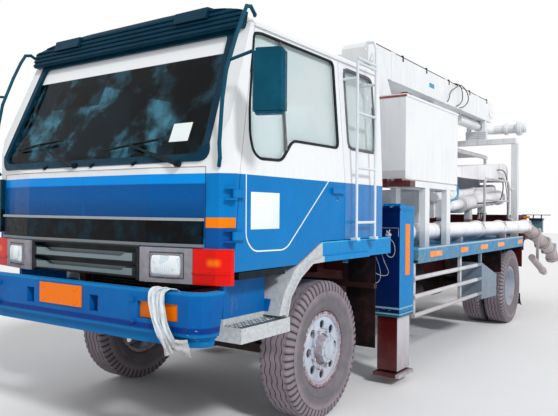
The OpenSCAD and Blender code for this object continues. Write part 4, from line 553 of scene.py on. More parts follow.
        stain=(0.20, 0.15, 0.16), stainFrom=0.6, metallic=0.0, roughness=0.35, specular=0.2,
    )),
    "lamp_glass": metalFinish("lampGlass", dict(
        colour=(0.62, 0.74, 0.78), second=(0.95, 0.98, 1.0), spangle=16.0,
        stain=(0.40, 0.48, 0.52), stainFrom=0.66, metallic=0.0, roughness=0.12,
    )),
    "signal_lens": paintFinish("signalPlastic", dict(
        colour=(0.72, 0.003, 0.001), faded=(0.80, 0.008, 0.002),
        zones=[
            ((None, -4.8, 0.90), (None, -4.6, 1.09), 0.001, (0.92, 0.19, 0.001)),
            ((1.06, -4.8, 1.236), (1.135, -4.0, 1.272), 0.016, (0.95, 0.16, 0.001)),
            ((0, 4.00, 1.2), (None, 4.135, 1.5), 0.002, (0.10, 0.22, 0.25)),
            ((0, 3.9, 1.438), (None, None, 1.5), 0.002, (0.01, 0.03, 0.06)),
        ],
        streaks=0.08, splash=0.1, dirt=(0.30, 0.05, 0.03), dirtHeights=(0.8, 1.1),
        chip=(0.7, 0.3, 0.2), chipFrom=0.76, roughness=0.2, coat=0.06, specular=0.12,
    )),
    "amber": paintFinish("amberPlastic", dict(
        colour=(0.95, 0.21, 0.001), faded=(0.95, 0.25, 0.002), patchScale=12.0,
        streaks=0.05, splash=0.0, dirt=(0.4, 0.15, 0.05), dirtHeights=(0.5, 0.6),
        chip=(0.85, 0.70, 0.55), chipFrom=0.72, roughness=0.3, specular=0.10,
    )),
    "reflector": paintFinish("wornAmber", dict(
        colour=(0.90, 0.24, 0.01), faded=(0.85, 0.40, 0.16), patchScale=18.0,
        scuffs=[(*between(None, 3.0), 0.01, 0.25)],
        streaks=0.2, splash=0.0, dirt=(0.5, 0.3, 0.2), dirtHeights=(0.5, 0.6),
        chip=(0.75, 0.70, 0.66), chipFrom=0.60, specular=0.15,
    )),
    "bare_card": paintFinish("plainCard", dict(
        colour=(0.84, 0.90, 0.90), faded=(0.78, 0.88, 0.88), patchScale=6.0,
        streaks=0.06, splash=0.0, dirt=(0.5, 0.6, 0.6), dirtHeights=(0.5, 0.6),
        chip=(0.5, 0.55, 0.56), chipFrom=0.78, roughness=0.6,
    )),
    "hose_black": rubberFinish("hoseRubber", dict(
        colour=(0.018, 0.020, 0.024), dust=(0.12, 0.11, 0.12), dustAmount=0.6, roughness=(0.45, 0.7),
    )),
    "hose_grey": rubberFinish("hoseGrey", dict(
        colour=(0.10, 0.10, 0.115), dust=(0.22, 0.20, 0.21), dustAmount=0.6, roughness=(0.45, 0.7),
    )),
    "hose_blue": rubberFinish("hoseBlue", dict(
        colour=(0.05, 0.28, 0.48), dust=(0.20, 0.42, 0.55), dustAmount=0.6, roughness=(0.4, 0.6),
    )),
    "rope": rubberFinish("ropeWhite", dict(
        colour=(0.42, 0.44, 0.46), dust=(0.20, 0.18, 0.19), dustAmount=0.8, roughness=(0.7, 0.9),
    )),
    "mirror_glass": metalFinish("mirrorGlass", dict(
        colour=(0.82, 0.86, 0.88), second=(0.84, 0.88, 0.90), spangle=4.0,
        stain=(0.6, 0.63, 0.65), stainFrom=0.75, metallic=1.0, roughness=0.10,
    )),
}
ownFinish = ("cab_front", "water_tanks", "pump_unit", "delivery_pipe", "deck", "turret", "ladder", "fenders",
             "handrails", "side_guards", "grille", "mirrors", "cab_interior")
nodeFinish = {name: name for name in ownFinish} | {"cab_glass": "windscreen", "front_trim": "name_band"}
for side in ("left", "right"):
    nodeFinish |= {"outrigger_" + side: "outriggers", "jack_" + side: "jacks",
                   "rim_front_" + side: "rims", "rim_rear_" + side: "rims"}
for part in frame["record"]["subparts"]:
    node = frame["nodes"][part["node"]]
    node.data.materials.clear()
    node.data.materials.append(finishes[nodeFinish.get(part["node"], part["material_slot"])])
print("finishes set:", len(finishes))


# modelling helpers

def cab(x, s, z):
    return (x, s + cabFront, z)        # s is measured back from the cab's front


def sideX(z):
    return 1.19 if z < 1.78 else 1.19 - 0.08 * (z - 1.78) / 0.97


def frontS(x):
    rows = ((0, 0), (0.62, 0.004), (0.96, 0.062), (1.12, 0.092), (1.19, 0.165))
    for (x0, s0), (x1, s1) in zip(rows, rows[1:]):
        if abs(x) <= x1:
            return s0 + (s1 - s0) * (abs(x) - x0) / (x1 - x0)
    return 0.165


def screenPoint(x, z, out):
    lean = 0.04 + 0.36 * (z - 1.87) / 0.88        # the windscreen leans back
    return cab(x, max(lean, frontS(x)) - out, z)


def roundedPath(points, radius, steps=5, closed=True):
    path = []
    for index, point in enumerate(points):
        corner = Vector(point)
        if not closed and index in (0, len(points) - 1):
            path.append(corner)
            continue
        before = Vector(points[index - 1]) - corner
        after = Vector(points[(index + 1) % len(points)]) - corner
        reach = min(radius, before.length * 0.45, after.length * 0.45)
        first, last = corner + before.normalized() * reach, corner + after.normalized() * reach
        for step in range(steps + 1):
            t = step / steps
            path.append(first * (1 - t) ** 2 + corner * 2 * t * (1 - t) + last * t ** 2)
    return path


def flowingPath(points, count):
    # evenly spread places on a smooth line through the points
    rows = [Vector(p) for p in points]
    rows = [rows[0] * 2 - rows[1]] + rows + [rows[-1] * 2 - rows[-2]]
    dense, reach = [], [0.0]
    for a, b, c, d in zip(rows, rows[1:], rows[2:], rows[3:]):
        for step in range(20):
            t = step / 20
            bent = (a * 2 - b * 5 + c * 4 - d) * t ** 2 + (b * 3 - a - c * 3 + d) * t ** 3
            dense.append((b * 2 + (c - a) * t + bent) / 2)
    dense.append(rows[-2])
    for a, b in zip(dense, dense[1:]):
        reach.append(reach[-1] + (b - a).length)
    path, k = [], 0
    for index in range(count):
        want = reach[-1] * index / (count - 1)
        while k < len(dense) - 2 and reach[k + 1] < want:
            k += 1
        path.append(dense[k].lerp(dense[k + 1], min(1.0, (want - reach[k]) / (reach[k + 1] - reach[k]))))
    return path, reach[-1]


def deselectEverything():
    if bpy.context.object and bpy.context.object.mode != "OBJECT":
        bpy.ops.object.mode_set(mode="OBJECT")
    bpy.ops.object.select_all(action="DESELECT")


def useOnly(piece):
    deselectEverything()
    piece.select_set(True)
    bpy.context.view_layer.objects.active = piece


def dropMaster(piece):
    useOnly(piece)
    bpy.ops.object.delete()


def edit(piece):
    useOnly(piece)
    bpy.ops.object.mode_set(mode="EDIT")
    bpy.ops.mesh.select_all(action="SELECT")


def settle(piece):
    useOnly(piece)
    bpy.ops.object.transform_apply(location=True, rotation=True, scale=True)


def applyModifier(piece, kind, **settings):
    useOnly(piece)
    bpy.ops.object.modifier_add(type=kind)
    modifier = piece.modifiers[-1]
    for key, value in settings.items():
        setattr(modifier, key, value)
    bpy.ops.object.modifier_apply(modifier=modifier.name)


def squeeze(piece, amount, centre):
    edit(piece)
    bpy.ops.transform.resize(value=amount, center_override=centre)
    bpy.ops.object.mode_set(mode="OBJECT")


def faceOutwards(piece):
    edit(piece)
    bpy.ops.mesh.remove_doubles(threshold=0.00005)
    bpy.ops.mesh.normals_make_consistent(inside=False)
    bpy.ops.object.mode_set(mode="OBJECT")


def finishPiece(piece, name, body, slot, finish=None, smooth=35):
    settle(piece)
    piece.name = name
    if smooth:
        bpy.ops.object.shade_smooth_by_angle(angle=math.radians(smooth))
    piece.data.materials.clear()
    piece.data.materials.append(finishes[finish or slot])
    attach(piece, body)
    return piece


def copyOf(piece, shift=(0, 0, 0), mirrored=False):
    deselectEverything()
    twin = piece.copy()
    twin.data = piece.data.copy()
    bpy.context.scene.collection.objects.link(twin)
    if mirrored:
        twin.scale = (-1, 1, 1)
    twin.location = shift
    settle(twin)
    if mirrored:
        faceOutwards(twin)
    return twin


def joinPieces(parts):
    deselectEverything()
    for part in parts:
        part.select_set(True)
    bpy.context.view_layer.objects.active = parts[0]
    if len(parts) > 1:
        bpy.ops.object.join()
    return parts[0]


def bothSides(piece, name, bodies, slot, finish=None, smooth=35):
    left, right = (bodies, bodies) if isinstance(bodies, str) else bodies
    twin = copyOf(piece, mirrored=True)
    finishPiece(piece, name + "Left", left, slot, finish, smooth)
    finishPiece(twin, name + "Right", right, slot, finish, smooth)
    return piece, twin


def middleOf(low, high):
    return [(a + b) / 2 for a, b in zip(low, high)]


def addGrid(columns, rows, size=1):
    deselectEverything()
    bpy.ops.mesh.primitive_grid_add(x_subdivisions=columns, y_subdivisions=rows, size=size)
    return bpy.context.object


def addBlock(low, high, bevel=0.004, segments=2):
    deselectEverything()
    bpy.ops.mesh.primitive_cube_add(size=1, location=middleOf(low, high))
    block = bpy.context.object
    block.scale = [b - a for a, b in zip(low, high)]
    settle(block)
    if bevel:
        edit(block)
        bpy.ops.mesh.bevel(offset=bevel, segments=segments, affect="EDGES")
        bpy.ops.object.mode_set(mode="OBJECT")
    return block


def addDisc(centre, axis, radius, depth, sides=24, bevel=0.002):
    deselectEverything()
    turn = {"X": (0, math.pi / 2, 0), "Y": (math.pi / 2, 0, 0), "Z": (0, 0, 0)}[axis]
    bpy.ops.mesh.primitive_cylinder_add(vertices=sides, radius=radius, depth=depth,
                                        location=centre, rotation=turn)
    disc = bpy.context.object
    settle(disc)
    if bevel:
        applyModifier(disc, "BEVEL", width=bevel, segments=2, limit_method="ANGLE",
                      angle_limit=math.radians(40))
    return disc


def addBolt(axis, radius):
    parts = [addDisc((0, 0, 0), axis, radius * 1.5, radius * 0.36, 16, 0)]
    for end in (1, -1):
        centre = [radius * 0.6 * end * (a == axis) for a in "XYZ"]
        parts.append(addDisc(centre, axis, radius, radius * 0.9, 6, radius * 0.1))
    return joinPieces(parts)


def boltRow(name, body, slot, axis, radius, places, finish=None):
    master = addBolt(axis, radius)
    row = joinPieces([copyOf(master, place) for place in places])
    dropMaster(master)
    return finishPiece(row, name, body, slot, finish, 30)


def addTube(points, radius, sides=8, closed=False, round=False):
    deselectEverything()
    bpy.ops.curve.primitive_bezier_curve_add()
    tube = bpy.context.object
    curve = tube.data
    curve.splines.clear()
    spline = curve.splines.new("NURBS" if round else "POLY")
    spline.points.add(len(points) - 1)
    for place, point in zip(points, spline.points):
        point.co = (*place, 1)
    if round:
        spline.order_u = 3
        spline.use_endpoint_u = not closed
        spline.resolution_u = 3
    spline.use_cyclic_u = closed
    curve.dimensions = "3D"
    curve.bevel_depth = radius
    curve.bevel_resolution = max(0, sides // 4 - 1)
    curve.use_fill_caps = not closed
    tube.location = (0, 0, 0)
    return tube


def addBar(points, radius, sides=8, closed=False):
    addTube(points, radius, sides, closed)
    bpy.ops.object.convert(target="MESH")
    return bpy.context.object


# hoses and ropes, laid as they hang

hoseKinds = {
    "boomHose": dict(body="boom_root", slot="dark_plastic", finish="hose_black", stiffness="medium"),
    "pumpHose": dict(body="chassis", slot="dark_plastic", finish="hose_grey", stiffness="medium"),
    "tankHose": dict(body="chassis", slot="dark_plastic", finish="hose_blue", stiffness="medium"),
    "rope": dict(body="chassis", slot="seat_cloth", finish="rope", stiffness="limp"),
}
hoseRows = (
    # kind, end of the name, diameter, points along it
    ("boomHose", "Front", 0.0132,
     [(0.40, 1.72, 3.455), (0.43, 1.715, 3.455), (0.462, 1.69, 3.43), (0.472, 1.62, 3.385),
      (0.468, 1.53, 3.345), (0.462, 1.44, 3.31), (0.460, 1.385, 3.26), (0.453, 1.372, 3.20),
      (0.436, 1.375, 3.155), (0.402, 1.38, 3.125)]),
    ("boomHose", "Middle", 0.0132,
     [(0.40, 1.76, 3.455), (0.43, 1.765, 3.455), (0.465, 1.79, 3.43), (0.480, 1.83, 3.37), (0.482, 1.86, 3.30),
      (0.476, 1.85, 3.22), (0.456, 1.81, 3.165), (0.435, 1.775, 3.14), (0.402, 1.75, 3.125)]),
    ("boomHose", "Rear", 0.0132,
     [(0.40, 1.80, 3.455), (0.43, 1.81, 3.456), (0.47, 1.86, 3.44), (0.492, 1.95, 3.40), (0.500, 2.04, 3.34),
      (0.498, 2.07, 3.26), (0.48, 2.03, 3.19), (0.452, 1.97, 3.145), (0.402, 1.90, 3.125)]),
    ("pumpHose", "Rear", 0.018,
     [(0.745, 2.72, 2.235), (0.765, 2.722, 2.235), (0.80, 2.76, 2.24), (0.806, 2.88, 2.232),
      (0.804, 3.02, 2.185), (0.798, 3.15, 2.07), (0.79, 3.235, 1.92), (0.787, 3.28, 1.72), (0.786, 3.30, 1.52),
      (0.786, 3.305, 1.34), (0.786, 3.305, 1.18)]),
    ("pumpHose", "Middle", 0.013,
     [(0.745, 2.90, 2.12), (0.765, 2.902, 2.12), (0.796, 2.93, 2.11), (0.804, 3.00, 2.06), (0.803, 3.07, 1.97),
      (0.80, 3.13, 1.86), (0.795, 3.17, 1.72), (0.785, 3.21, 1.57), (0.765, 3.25, 1.42), (0.748, 3.28, 1.30),
      (0.742, 3.285, 1.18)]),
    ("pumpHose", "Cross", 0.020,
     [(0.745, 2.82, 2.12), (0.765, 2.82, 2.118), (0.800, 2.85, 2.08), (0.812, 2.86, 1.99), (0.812, 2.83, 1.89),
      (0.812, 2.74, 1.80), (0.812, 2.60, 1.752), (0.812, 2.40, 1.728), (0.812, 2.15, 1.715),
      (0.80, 1.92, 1.708), (0.76, 1.80, 1.70), (0.70, 1.74, 1.70)]),
    ("tankHose", "", 0.028,
     [(0.735, 0.82, 2.04), (0.737, 0.82, 1.99), (0.752, 0.815, 1.92), (0.782, 0.79, 1.855),
      (0.802, 0.735, 1.795), (0.807, 0.66, 1.755), (0.80, 0.59, 1.73), (0.778, 0.535, 1.715),
      (0.735, 0.50, 1.705), (0.69, 0.488, 1.70)]),
    ("rope", "First", 0.006,
     [(1.163, -2.186, 1.340), (1.170, -2.166, 1.330), (1.180, -2.105, 1.29), (1.186, -2.088, 1.24),
      (1.184, -2.090, 1.195), (1.176, -2.115, 1.165), (1.164, -2.150, 1.165), (1.154, -2.18, 1.185),
      (1.150, -2.20, 1.215)]),
    ("rope", "Second", 0.005,
     [(1.12, -2.215, 1.21), (1.122, -2.212, 1.18), (1.13, -2.18, 1.12), (1.135, -2.13, 1.06),
      (1.13, -2.095, 1.02), (1.115, -2.105, 0.995), (1.09, -2.17, 1.00), (1.07, -2.25, 1.03),
      (1.06, -2.33, 1.08), (1.05, -2.39, 1.14), (1.048, -2.41, 1.21)]),
    ("rope", "Third", 0.005,
     [(1.00, -2.42, 1.21), (1.002, -2.418, 1.18), (1.02, -2.39, 1.09), (1.04, -2.33, 1.00),
      (1.055, -2.25, 0.945), (1.06, -2.17, 0.935), (1.058, -2.115, 0.965), (1.05, -2.095, 1.02),
      (1.04, -2.11, 1.09), (1.035, -2.15, 1.15), (1.034, -2.20, 1.21)]),
)


def layHoses(rows):
    for kind, end, diameter, points in rows:
        values = hoseKinds[kind]
        path, length = flowingPath(points, 34)
        hose = addTube(path, diameter / 2, 12, round=True)
        hose.name = kind + end
        hose.data.materials.append(finishes[values["finish"]])
        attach(hose, values["body"])


layHoses(hoseRows)
print("hoses laid:", len(hoseRows))


# tyres

tyreValues = {
    "radius": 0.518,
    "halfWidth": 0.136,
    "bead": 0.2702,
    "steps": 180,
    "grooves": (-0.068, -0.023, 0.023, 0.068),
    "grooveWidth": 0.010,
    "grooveDepth": 0.012,
    "zigzag": 0.005,
    "lugDepth": 0.008,
}


def makeTyre(values):
    r, w, bead = values["radius"], values["halfWidth"], values["bead"]
    half, deep, steps = values["grooveWidth"] / 2, values["grooveDepth"], values["steps"]
    outline = [(-w + 0.046, bead), (-w + 0.040, bead + 0.016), (-w + 0.024, bead + 0.024),
               (-w + 0.010, bead + 0.045), (-w + 0.001, bead + 0.085), (-w + 0.004, bead + 0.092),
               (-w, bead + 0.100), (-w + 0.001, r - 0.075), (-w + 0.006, r - 0.071), (-w + 0.004, r - 0.060),
               (-w + 0.010, r - 0.030), (-w + 0.016, r - 0.012), (-w + 0.028, r - 0.001)]
    for groove in values["grooves"]:
        outline += [(groove - half - 0.014, r), (groove - half, r - 0.0005), (groove - half + 0.002, r - deep),
                    (groove + half - 0.002, r - deep), (groove + half, r - 0.0005)]
    outline += [(-x, z) for x, z in reversed(outline[:13])]
    deselectEverything()
    bpy.ops.mesh.primitive_circle_add(vertices=len(outline), radius=1, fill_type="NOTHING")
    tyre = bpy.context.object
    for vertex, (x, z) in zip(tyre.data.vertices, outline):
        vertex.co = (x, 0, z)
    edit(tyre)
    bpy.ops.mesh.spin(steps=steps, angle=math.tau, center=(0, 0, 0), axis=(1, 0, 0))
    faceOutwards(tyre)
    wear = tyre.data.attributes.new("wear", "FLOAT", "POINT")
    for vertex in tyre.data.vertices:
        x, y, z = vertex.co
        reach = math.hypot(y, z)
        step = round(math.atan2(y, z) / math.tau * steps)
        deepPart = reach < r - deep * 0.6 and abs(x) < 0.08
        lug = reach > r - 0.074 and abs(x) > w - 0.030
        low = lug and step % 3 == 0
        wear.data[vertex.index].value = 0.0 if deepPart or low else (1.0 if reach > r - 0.075 else 0.5)
        if any(abs(x - groove) < half + 0.001 for groove in values["grooves"]):
            vertex.co.x += values["zigzag"] * (1 if step % 6 < 3 else -1)
        if low:
            vertex.co.y *= 1 - values["lugDepth"] / reach
            vertex.co.z *= 1 - values["lugDepth"] / reach
            vertex.co.x -= math.copysign(0.003, x)
    return tyre


def placeTyres(values):
    master = makeTyre(values)
    for name, axle in (("tyreFront", "front"), ("tyresRear", "rear")):
        for side in ("Left", "Right"):
            node = "tyre_%s_%s" % (axle, side.lower())
            low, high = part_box(node)
            x, y, z = middleOf(low, high)
            spread = (high[0] - low[0]) / 2 - values["halfWidth"]
            places = [0.0] if spread < 0.01 else [-spread, spread]
            tyre = joinPieces([copyOf(master, (x + place, y, z)) for place in places])
            finishPiece(tyre, name + side, "wheel_%s_%s" % (axle, side[0].lower()), "tyre", "tread", 28)
            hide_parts(node)
    dropMaster(master)


placeTyres(tyreValues)


# hub caps and their bolts

hubValues = {"out": 0.150, "capRadius": 0.066, "capDepth": 0.016, "ringRadius": 0.0955, "ringDepth": 0.006,
             "boltRing": 0.082, "bolts": 8, "boltRadius": 0.0065}


def dressHubs(values):
    deep, ring = values["capDepth"], values["boltRing"]
    for axle in ("front", "rear"):
        bodies = ("wheel_%s_l" % axle, "wheel_%s_r" % axle)
        x, y, z = middleOf(*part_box("tyre_%s_left" % axle))
        x += values["out"]
        cap = addDisc((x + deep / 2, y, z), "X", values["capRadius"], deep, 32, 0.005)
        rim = addDisc((x + 0.002, y, z), "X", values["ringRadius"], values["ringDepth"], 32)
        bothSides(joinPieces([cap, rim]), "hubCap" + axle.title(), bodies, "galvanised", "rims")
        turns = [math.tau * (index + 0.5) / values["bolts"] for index in range(values["bolts"])]
        for side, sign, body in (("Left", 1, bodies[0]), ("Right", -1, bodies[1])):
            places = [((x + 0.006) * sign, y + ring * math.cos(turn), z + ring * math.sin(turn))
                      for turn in turns]
            boltRow("hubBolts" + axle.title() + side, body, "galvanised", "X", values["boltRadius"], places)


dressHubs(hubValues)
print("wheels dressed")


# doors and windows

doorValues = {
    "rubber": 0.011,
    "window": ((0.425, 2.69), (0.5, 2.706), (1.43, 2.706), (1.43, 2.045), (0.8, 2.04), (0.655, 1.895),
               (0.41, 1.89), (0.345, 1.93), (0.32, 2.03), (0.335, 2.22)),
    "quarter": ((1.59, 2.06), (2.08, 2.06), (2.08, 2.69), (1.59, 2.69)),
    "stripe": ((0.262, 1.79), (0.265, 1.39), (0.34, 1.315), (0.66, 1.31), (0.72, 1.33), (1.25, 1.785)),
    "stripeWidth": 0.005,
    "card": ((0.311, 1.45), (0.617, 1.68)),
    "divider": (0.72, (1.955, 2.2, 2.45, 2.704)),
    "lock": (1.385, 1.655),
    "skin": 1.1905,
}


def dressDoors(values):
    doors = ("door_l", "door_r")
    outline = [cab(sideX(z) - 0.002, s, z) for s, z in roundedPath(values["window"], 0.05)]
    bothSides(addBar(outline, values["rubber"], closed=True), "doorRubber", doors, "dark_plastic")
    s, heights = values["divider"]
    divider = addBar([cab(sideX(z) - 0.004, s, z) for z in heights], 0.010)
    bothSides(divider, "doorDivider", doors, "dark_plastic", "hose_grey")
    outline = [cab(sideX(z) - 0.002, s, z) for s, z in roundedPath(values["quarter"], 0.07)]
    bothSides(addBar(outline, 0.014, closed=True), "quarterRubber", "chassis", "dark_plastic", "hose_grey")
    stripe = [cab(values["skin"], s, z) for s, z in roundedPath(values["stripe"], 0.06, closed=False)]
    stripe = addBar(stripe, values["stripeWidth"])
    squeeze(stripe, (0.14, 1, 1), (values["skin"], 0, 0))
    bothSides(stripe, "doorStripe", doors, "white_paint", "bare_card")
    (s0, z0), (s1, z1) = values["card"]
    card = addBlock(cab(1.189, s0, z0), cab(1.1915, s1, z1), 0.0008)
    bothSides(card, "doorCard", doors, "white_paint", "bare_card")
    s, z = values["lock"]
    lock = [addDisc(cab(1.191, s, z), "X", 0.012, 0.006),
            addDisc(cab(1.194, s, z), "X", 0.007, 0.006, 16, 0.001)]
    bothSides(joinPieces(lock), "doorLock", doors, "galvanised", "ladder")


dressDoors(doorValues)
print("doors dressed")


# windscreen, wipers and the seams of the front panel

screenValues = {
    "wipers": (((0.849, 1.843), (0.387, 1.987)), ((-0.118, 1.864), (-0.638, 2.039))),
    "blade": 0.50,
    "bladeRows": ((-1, 0.012), (-0.5, 0.012), (0, 0.012), (0.5, 0.012), (1, 0.012)),        # along, out
    "spineRows": ((-0.8, 0.014), (-0.45, 0.025), (0, 0.029), (0.45, 0.025), (0.8, 0.014)),
    "knobs": (-0.46, 0.051, 0.463),
    "seam": (1.031, 1.345, 1.824),
    "sticker": ((0.70, 1.99), (0.86, 2.11)),
    "visorTilt": -24,
}


def makeWiper(values, pivot, tip):
    (x0, z0), (x1, z1) = pivot, tip
    middle = (x0 * 0.45 + x1 * 0.55, z0 * 0.45 + z1 * 0.55)
    half = values["blade"] / 2
    blade, spine = ([screenPoint(x1 + half * t, z1 + half * t * 0.10, out) for t, out in values[key]]
                    for key in ("bladeRows", "spineRows"))
    return [
        addDisc(screenPoint(x0, z0, 0.020), "Y", 0.019, 0.036, 24, 0.004),
        addDisc(screenPoint(x0, z0, 0.042), "Y", 0.012, 0.012, 16, 0.003),
        addBar([screenPoint(x0, z0, 0.038), screenPoint(*middle, 0.034)], 0.012),
        addBar([screenPoint(*middle, 0.034), screenPoint(x1, z1, 0.030)], 0.0085),
        addBar(blade, 0.008),
        addBar(spine, 0.006),
    ]


def dressScreen(values):
    parts = []
    for pivot, tip in values["wipers"]:
        parts += makeWiper(values, pivot, tip)
    for x in values["knobs"]:
        parts.append(addDisc(screenPoint(x, 1.857, 0.012), "Y", 0.013, 0.028, 16, 0.004))
        parts.append(addDisc(screenPoint(x + 0.016, 1.868, 0.010), "Y", 0.008, 0.020, 12))
    finishPiece(joinPieces(parts), "wipers", "chassis", "dark_plastic")
    wide, z0, z1 = values["seam"]
    across = (-wide, -0.96, -0.79, -0.62, 0, 0.62, 0.79, 0.96, wide)
    seams = [addBar([cab(x, frontS(x) - 0.0004, z1) for x in across], 0.0016, 4)]
    for x in (-wide, wide):
        seams.append(addBar([cab(x, frontS(x) - 0.0004, z) for z in (z0, z1)], 0.0018, 4))
    finishPiece(joinPieces(seams), "frontSeams", "chassis", "dark_plastic")


def addSticker(values):
    (x0, z0), (x1, z1) = values["sticker"]
    sticker = addGrid(6, 4)
    for vertex in sticker.data.vertices:
        u, v = vertex.co.x + 0.5, vertex.co.y + 0.5
        vertex.co = screenPoint(x0 + (x1 - x0) * u, z0 + (z1 - z0) * v, -0.0095)
    applyModifier(sticker, "SOLIDIFY", thickness=0.0008, offset=0)
    finishPiece(sticker, "screenSticker", "chassis", "white_paint", "bare_card")


def addVisors(values):
    visors = []
    for x in (-0.56, 0.56):
        visor = addBlock((x - 0.27, -0.008, -0.10), (x + 0.27, 0.008, 0.10), 0.006, 3)
        visor.rotation_euler.x = math.radians(values["visorTilt"])
        visor.location = cab(0, 0.395, 2.44)
        settle(visor)
        visors += [visor, addBar([cab(x - 0.2, 0.44, 2.53), cab(x - 0.2, 0.48, 2.70)], 0.005)]
    finishPiece(joinPieces(visors), "sunVisors", "chassis", "dark_plastic", "cab_interior")


dressScreen(screenValues)
addSticker(screenValues)
addVisors(screenValues)
print("windscreen dressed")


# lamps, bumper and plate

lampValues = {
    "lens": ((0.672, 1.165), (0.884, 1.294)),
    "rim": ((0.668, 1.161), (0.888, 1.161), (0.888, 1.298), (0.668, 1.298)),
    "flutes": 15,
    "fluteDepth": 0.0016,
    "bulge": 0.010,
    "bumperBolts": ((0.690, 1.035), (0.694, 0.905)),
    "plateScrews": ((0.165, 1.052), (0.165, 0.966)),
}


def lampFace(x):
    return -0.014 + (x - 0.668) * 0.183        # the lamps turn back with the cab's corner


def makeHeadlampGlass(values):
    (x0, z0), (x1, z1) = values["lens"]
    lens = addGrid(values["flutes"] * 6, 14, 2)
    for vertex in lens.data.vertices:
        u, v = vertex.co.x, vertex.co.y
        pull = 1 - 0.10 * (u * u) * (v * v)        # rounds the corners
        x = (x0 + x1) / 2 + u * pull * (x1 - x0) / 2
        z = (z0 + z1) / 2 + v * pull * (z1 - z0) / 2
        flute = values["fluteDepth"] * abs(math.sin(u * values["flutes"] * math.pi / 2))
        out = 0.004 + values["bulge"] * (1 - u * u) * (1 - v * v) + flute
        if max(abs(u), abs(v)) > 0.995:
            out = 0.0005
        vertex.co = cab(x, lampFace(x) - out, z)
    applyModifier(lens, "SOLIDIFY", thickness=0.002, offset=-1)
    faceOutwards(lens)
    return lens


def dressFront(values):
    bothSides(makeHeadlampGlass(values), "headlampGlass", "chassis", "lamp_lens", "lamp_glass", 50)
    rim = [cab(x, lampFace(x) - 0.003, z) for x, z in roundedPath(values["rim"], 0.03)]
    bothSides(addBar(rim, 0.0035, closed=True), "headlampRim", "chassis", "galvanised", "lamp_lens")
    for name, y, slot, radius, finish in (("bumperBolts", -4.7025, "deep_blue", 0.013, "deep_blue"),
                                          ("plateScrews", -4.7115, "galvanised", 0.006, "amber")):
        places = [(side * x, y, z) for side in (-1, 1) for x, z in values[name]]
        boltRow(name, "chassis", slot, "Y", radius, places, finish)


dressFront(lampValues)


# radiator behind the grille, seen through the gap over the bumper

radiatorValues = {"halfWide": 0.31, "s": (0.335, 0.385), "z": (0.74, 1.34), "feet": 0.20, "pitch": 0.020,
                  "fin": 0.006}


def makeRadiator(values):
    wide, (s0, s1), (z0, z1) = values["halfWide"], values["s"], values["z"]
    fin = addBlock(cab(-wide, s0, z0), cab(wide, s1, z0 + values["fin"]), 0)
    applyModifier(fin, "ARRAY", count=int((z1 - z0) / values["pitch"]), use_relative_offset=False,
                  use_constant_offset=True, constant_offset_displace=(0, 0, values["pitch"]))
    parts = [fin]
    for bottom, top in ((z1 - 0.01, z1 + 0.05), (z0 - 0.05, z0 + 0.002)):        # upper and lower tank
        parts.append(addBlock(cab(-wide, s0 - 0.012, bottom), cab(wide, s1 + 0.012, top), 0.008))
    parts.append(addBlock(cab(-wide + 0.01, s1 - 0.012, z0), cab(wide - 0.01, s1 - 0.006, z1), 0))
    for side in (-1, 1):
        x, foot = side * wide, side * values["feet"]
        low, high = cab(x - 0.012, s0 - 0.006, z0 - 0.04), cab(x + 0.012, s1 + 0.006, z1 + 0.03)
        parts.append(addBlock(low, high, 0.003))
        parts.append(addBlock(cab(foot - 0.02, s1 + 0.004, 0.78), cab(foot + 0.02, 0.44, 0.82), 0.003))
    finishPiece(joinPieces(parts), "radiator", "chassis", "dark_steel")


makeRadiator(radiatorValues)
print("front dressed")


# rag over the bumper, in two strips

ragValues = {
    "rows": 96,
    "columns": 20,
    "folds": 0.0055,
    "strips": (
        # name, widths at its start, middle and end, line that it follows
        ("ragLong", (0.074, 0.050, 0.075),
         ((0.925, -4.628, 1.035), (0.922, -4.632, 1.085), (0.912, -4.650, 1.111), (0.895, -4.685, 1.117),
          (0.876, -4.714, 1.100), (0.870, -4.722, 1.050), (0.878, -4.722, 1.000), (0.892, -4.722, 0.955),
          (0.912, -4.721, 0.912), (0.933, -4.720, 0.870), (0.956, -4.716, 0.828), (0.978, -4.712, 0.788),
          (0.994, -4.710, 0.748))),
        ("ragShort", (0.052, 0.066, 0.110),
         ((0.990, -4.622, 1.04), (0.988, -4.630, 1.085), (0.976, -4.648, 1.108), (0.952, -4.68, 1.114),
          (0.930, -4.704, 1.096), (0.928, -4.714, 1.050), (0.934, -4.716, 1.005), (0.944, -4.716, 0.962),
          (0.956, -4.715, 0.920), (0.972, -4.713, 0.876), (0.990, -4.708, 0.836), (1.022, -4.700, 0.806),
          (1.070, -4.690, 0.796), (1.120, -4.678, 0.794))),
    ),
}


def makeRag(values, name, widths, points):
    centres, length = flowingPath(points, values["rows"] + 1)
    rag = addGrid(values["columns"], values["rows"])
    for vertex in rag.data.vertices:
        u, row = vertex.co.x, round((vertex.co.y + 0.5) * values["rows"])
        before, after = centres[max(row - 1, 0)], centres[min(row + 1, values["rows"])]
        along = (after - before).normalized()
        across = Vector((1, 0, 0.0)) - along * along.x
        across = across.normalized() if across.length > 0.35 else Vector((0, -0.3, 1)).normalized()
        out = along.cross(across).normalized()
        t = row / values["rows"]
        wide = widths[0] * (1 - t) ** 2 + widths[1] * 2 * t * (1 - t) + widths[2] * t ** 2
        wide *= 1 + 0.06 * math.sin(t * 19.0)
        fold = math.sin(u * 11.0 + t * 4.0) + 0.35 * math.sin(u * 27.0 - t * 15.0)
        fold *= values["folds"] * (0.8 + 0.4 * math.sin(t * 23.0))
        vertex.co = centres[row] + across * (u * wide) + out * fold
    applyModifier(rag, "SUBSURF", levels=1, render_levels=1)
    finishPiece(rag, name, "chassis", "seat_cloth", "rag", 80)


for strip in ragValues["strips"]:
    makeRag(ragValues, *strip)
print("rag hung")


# raised tread on the steps

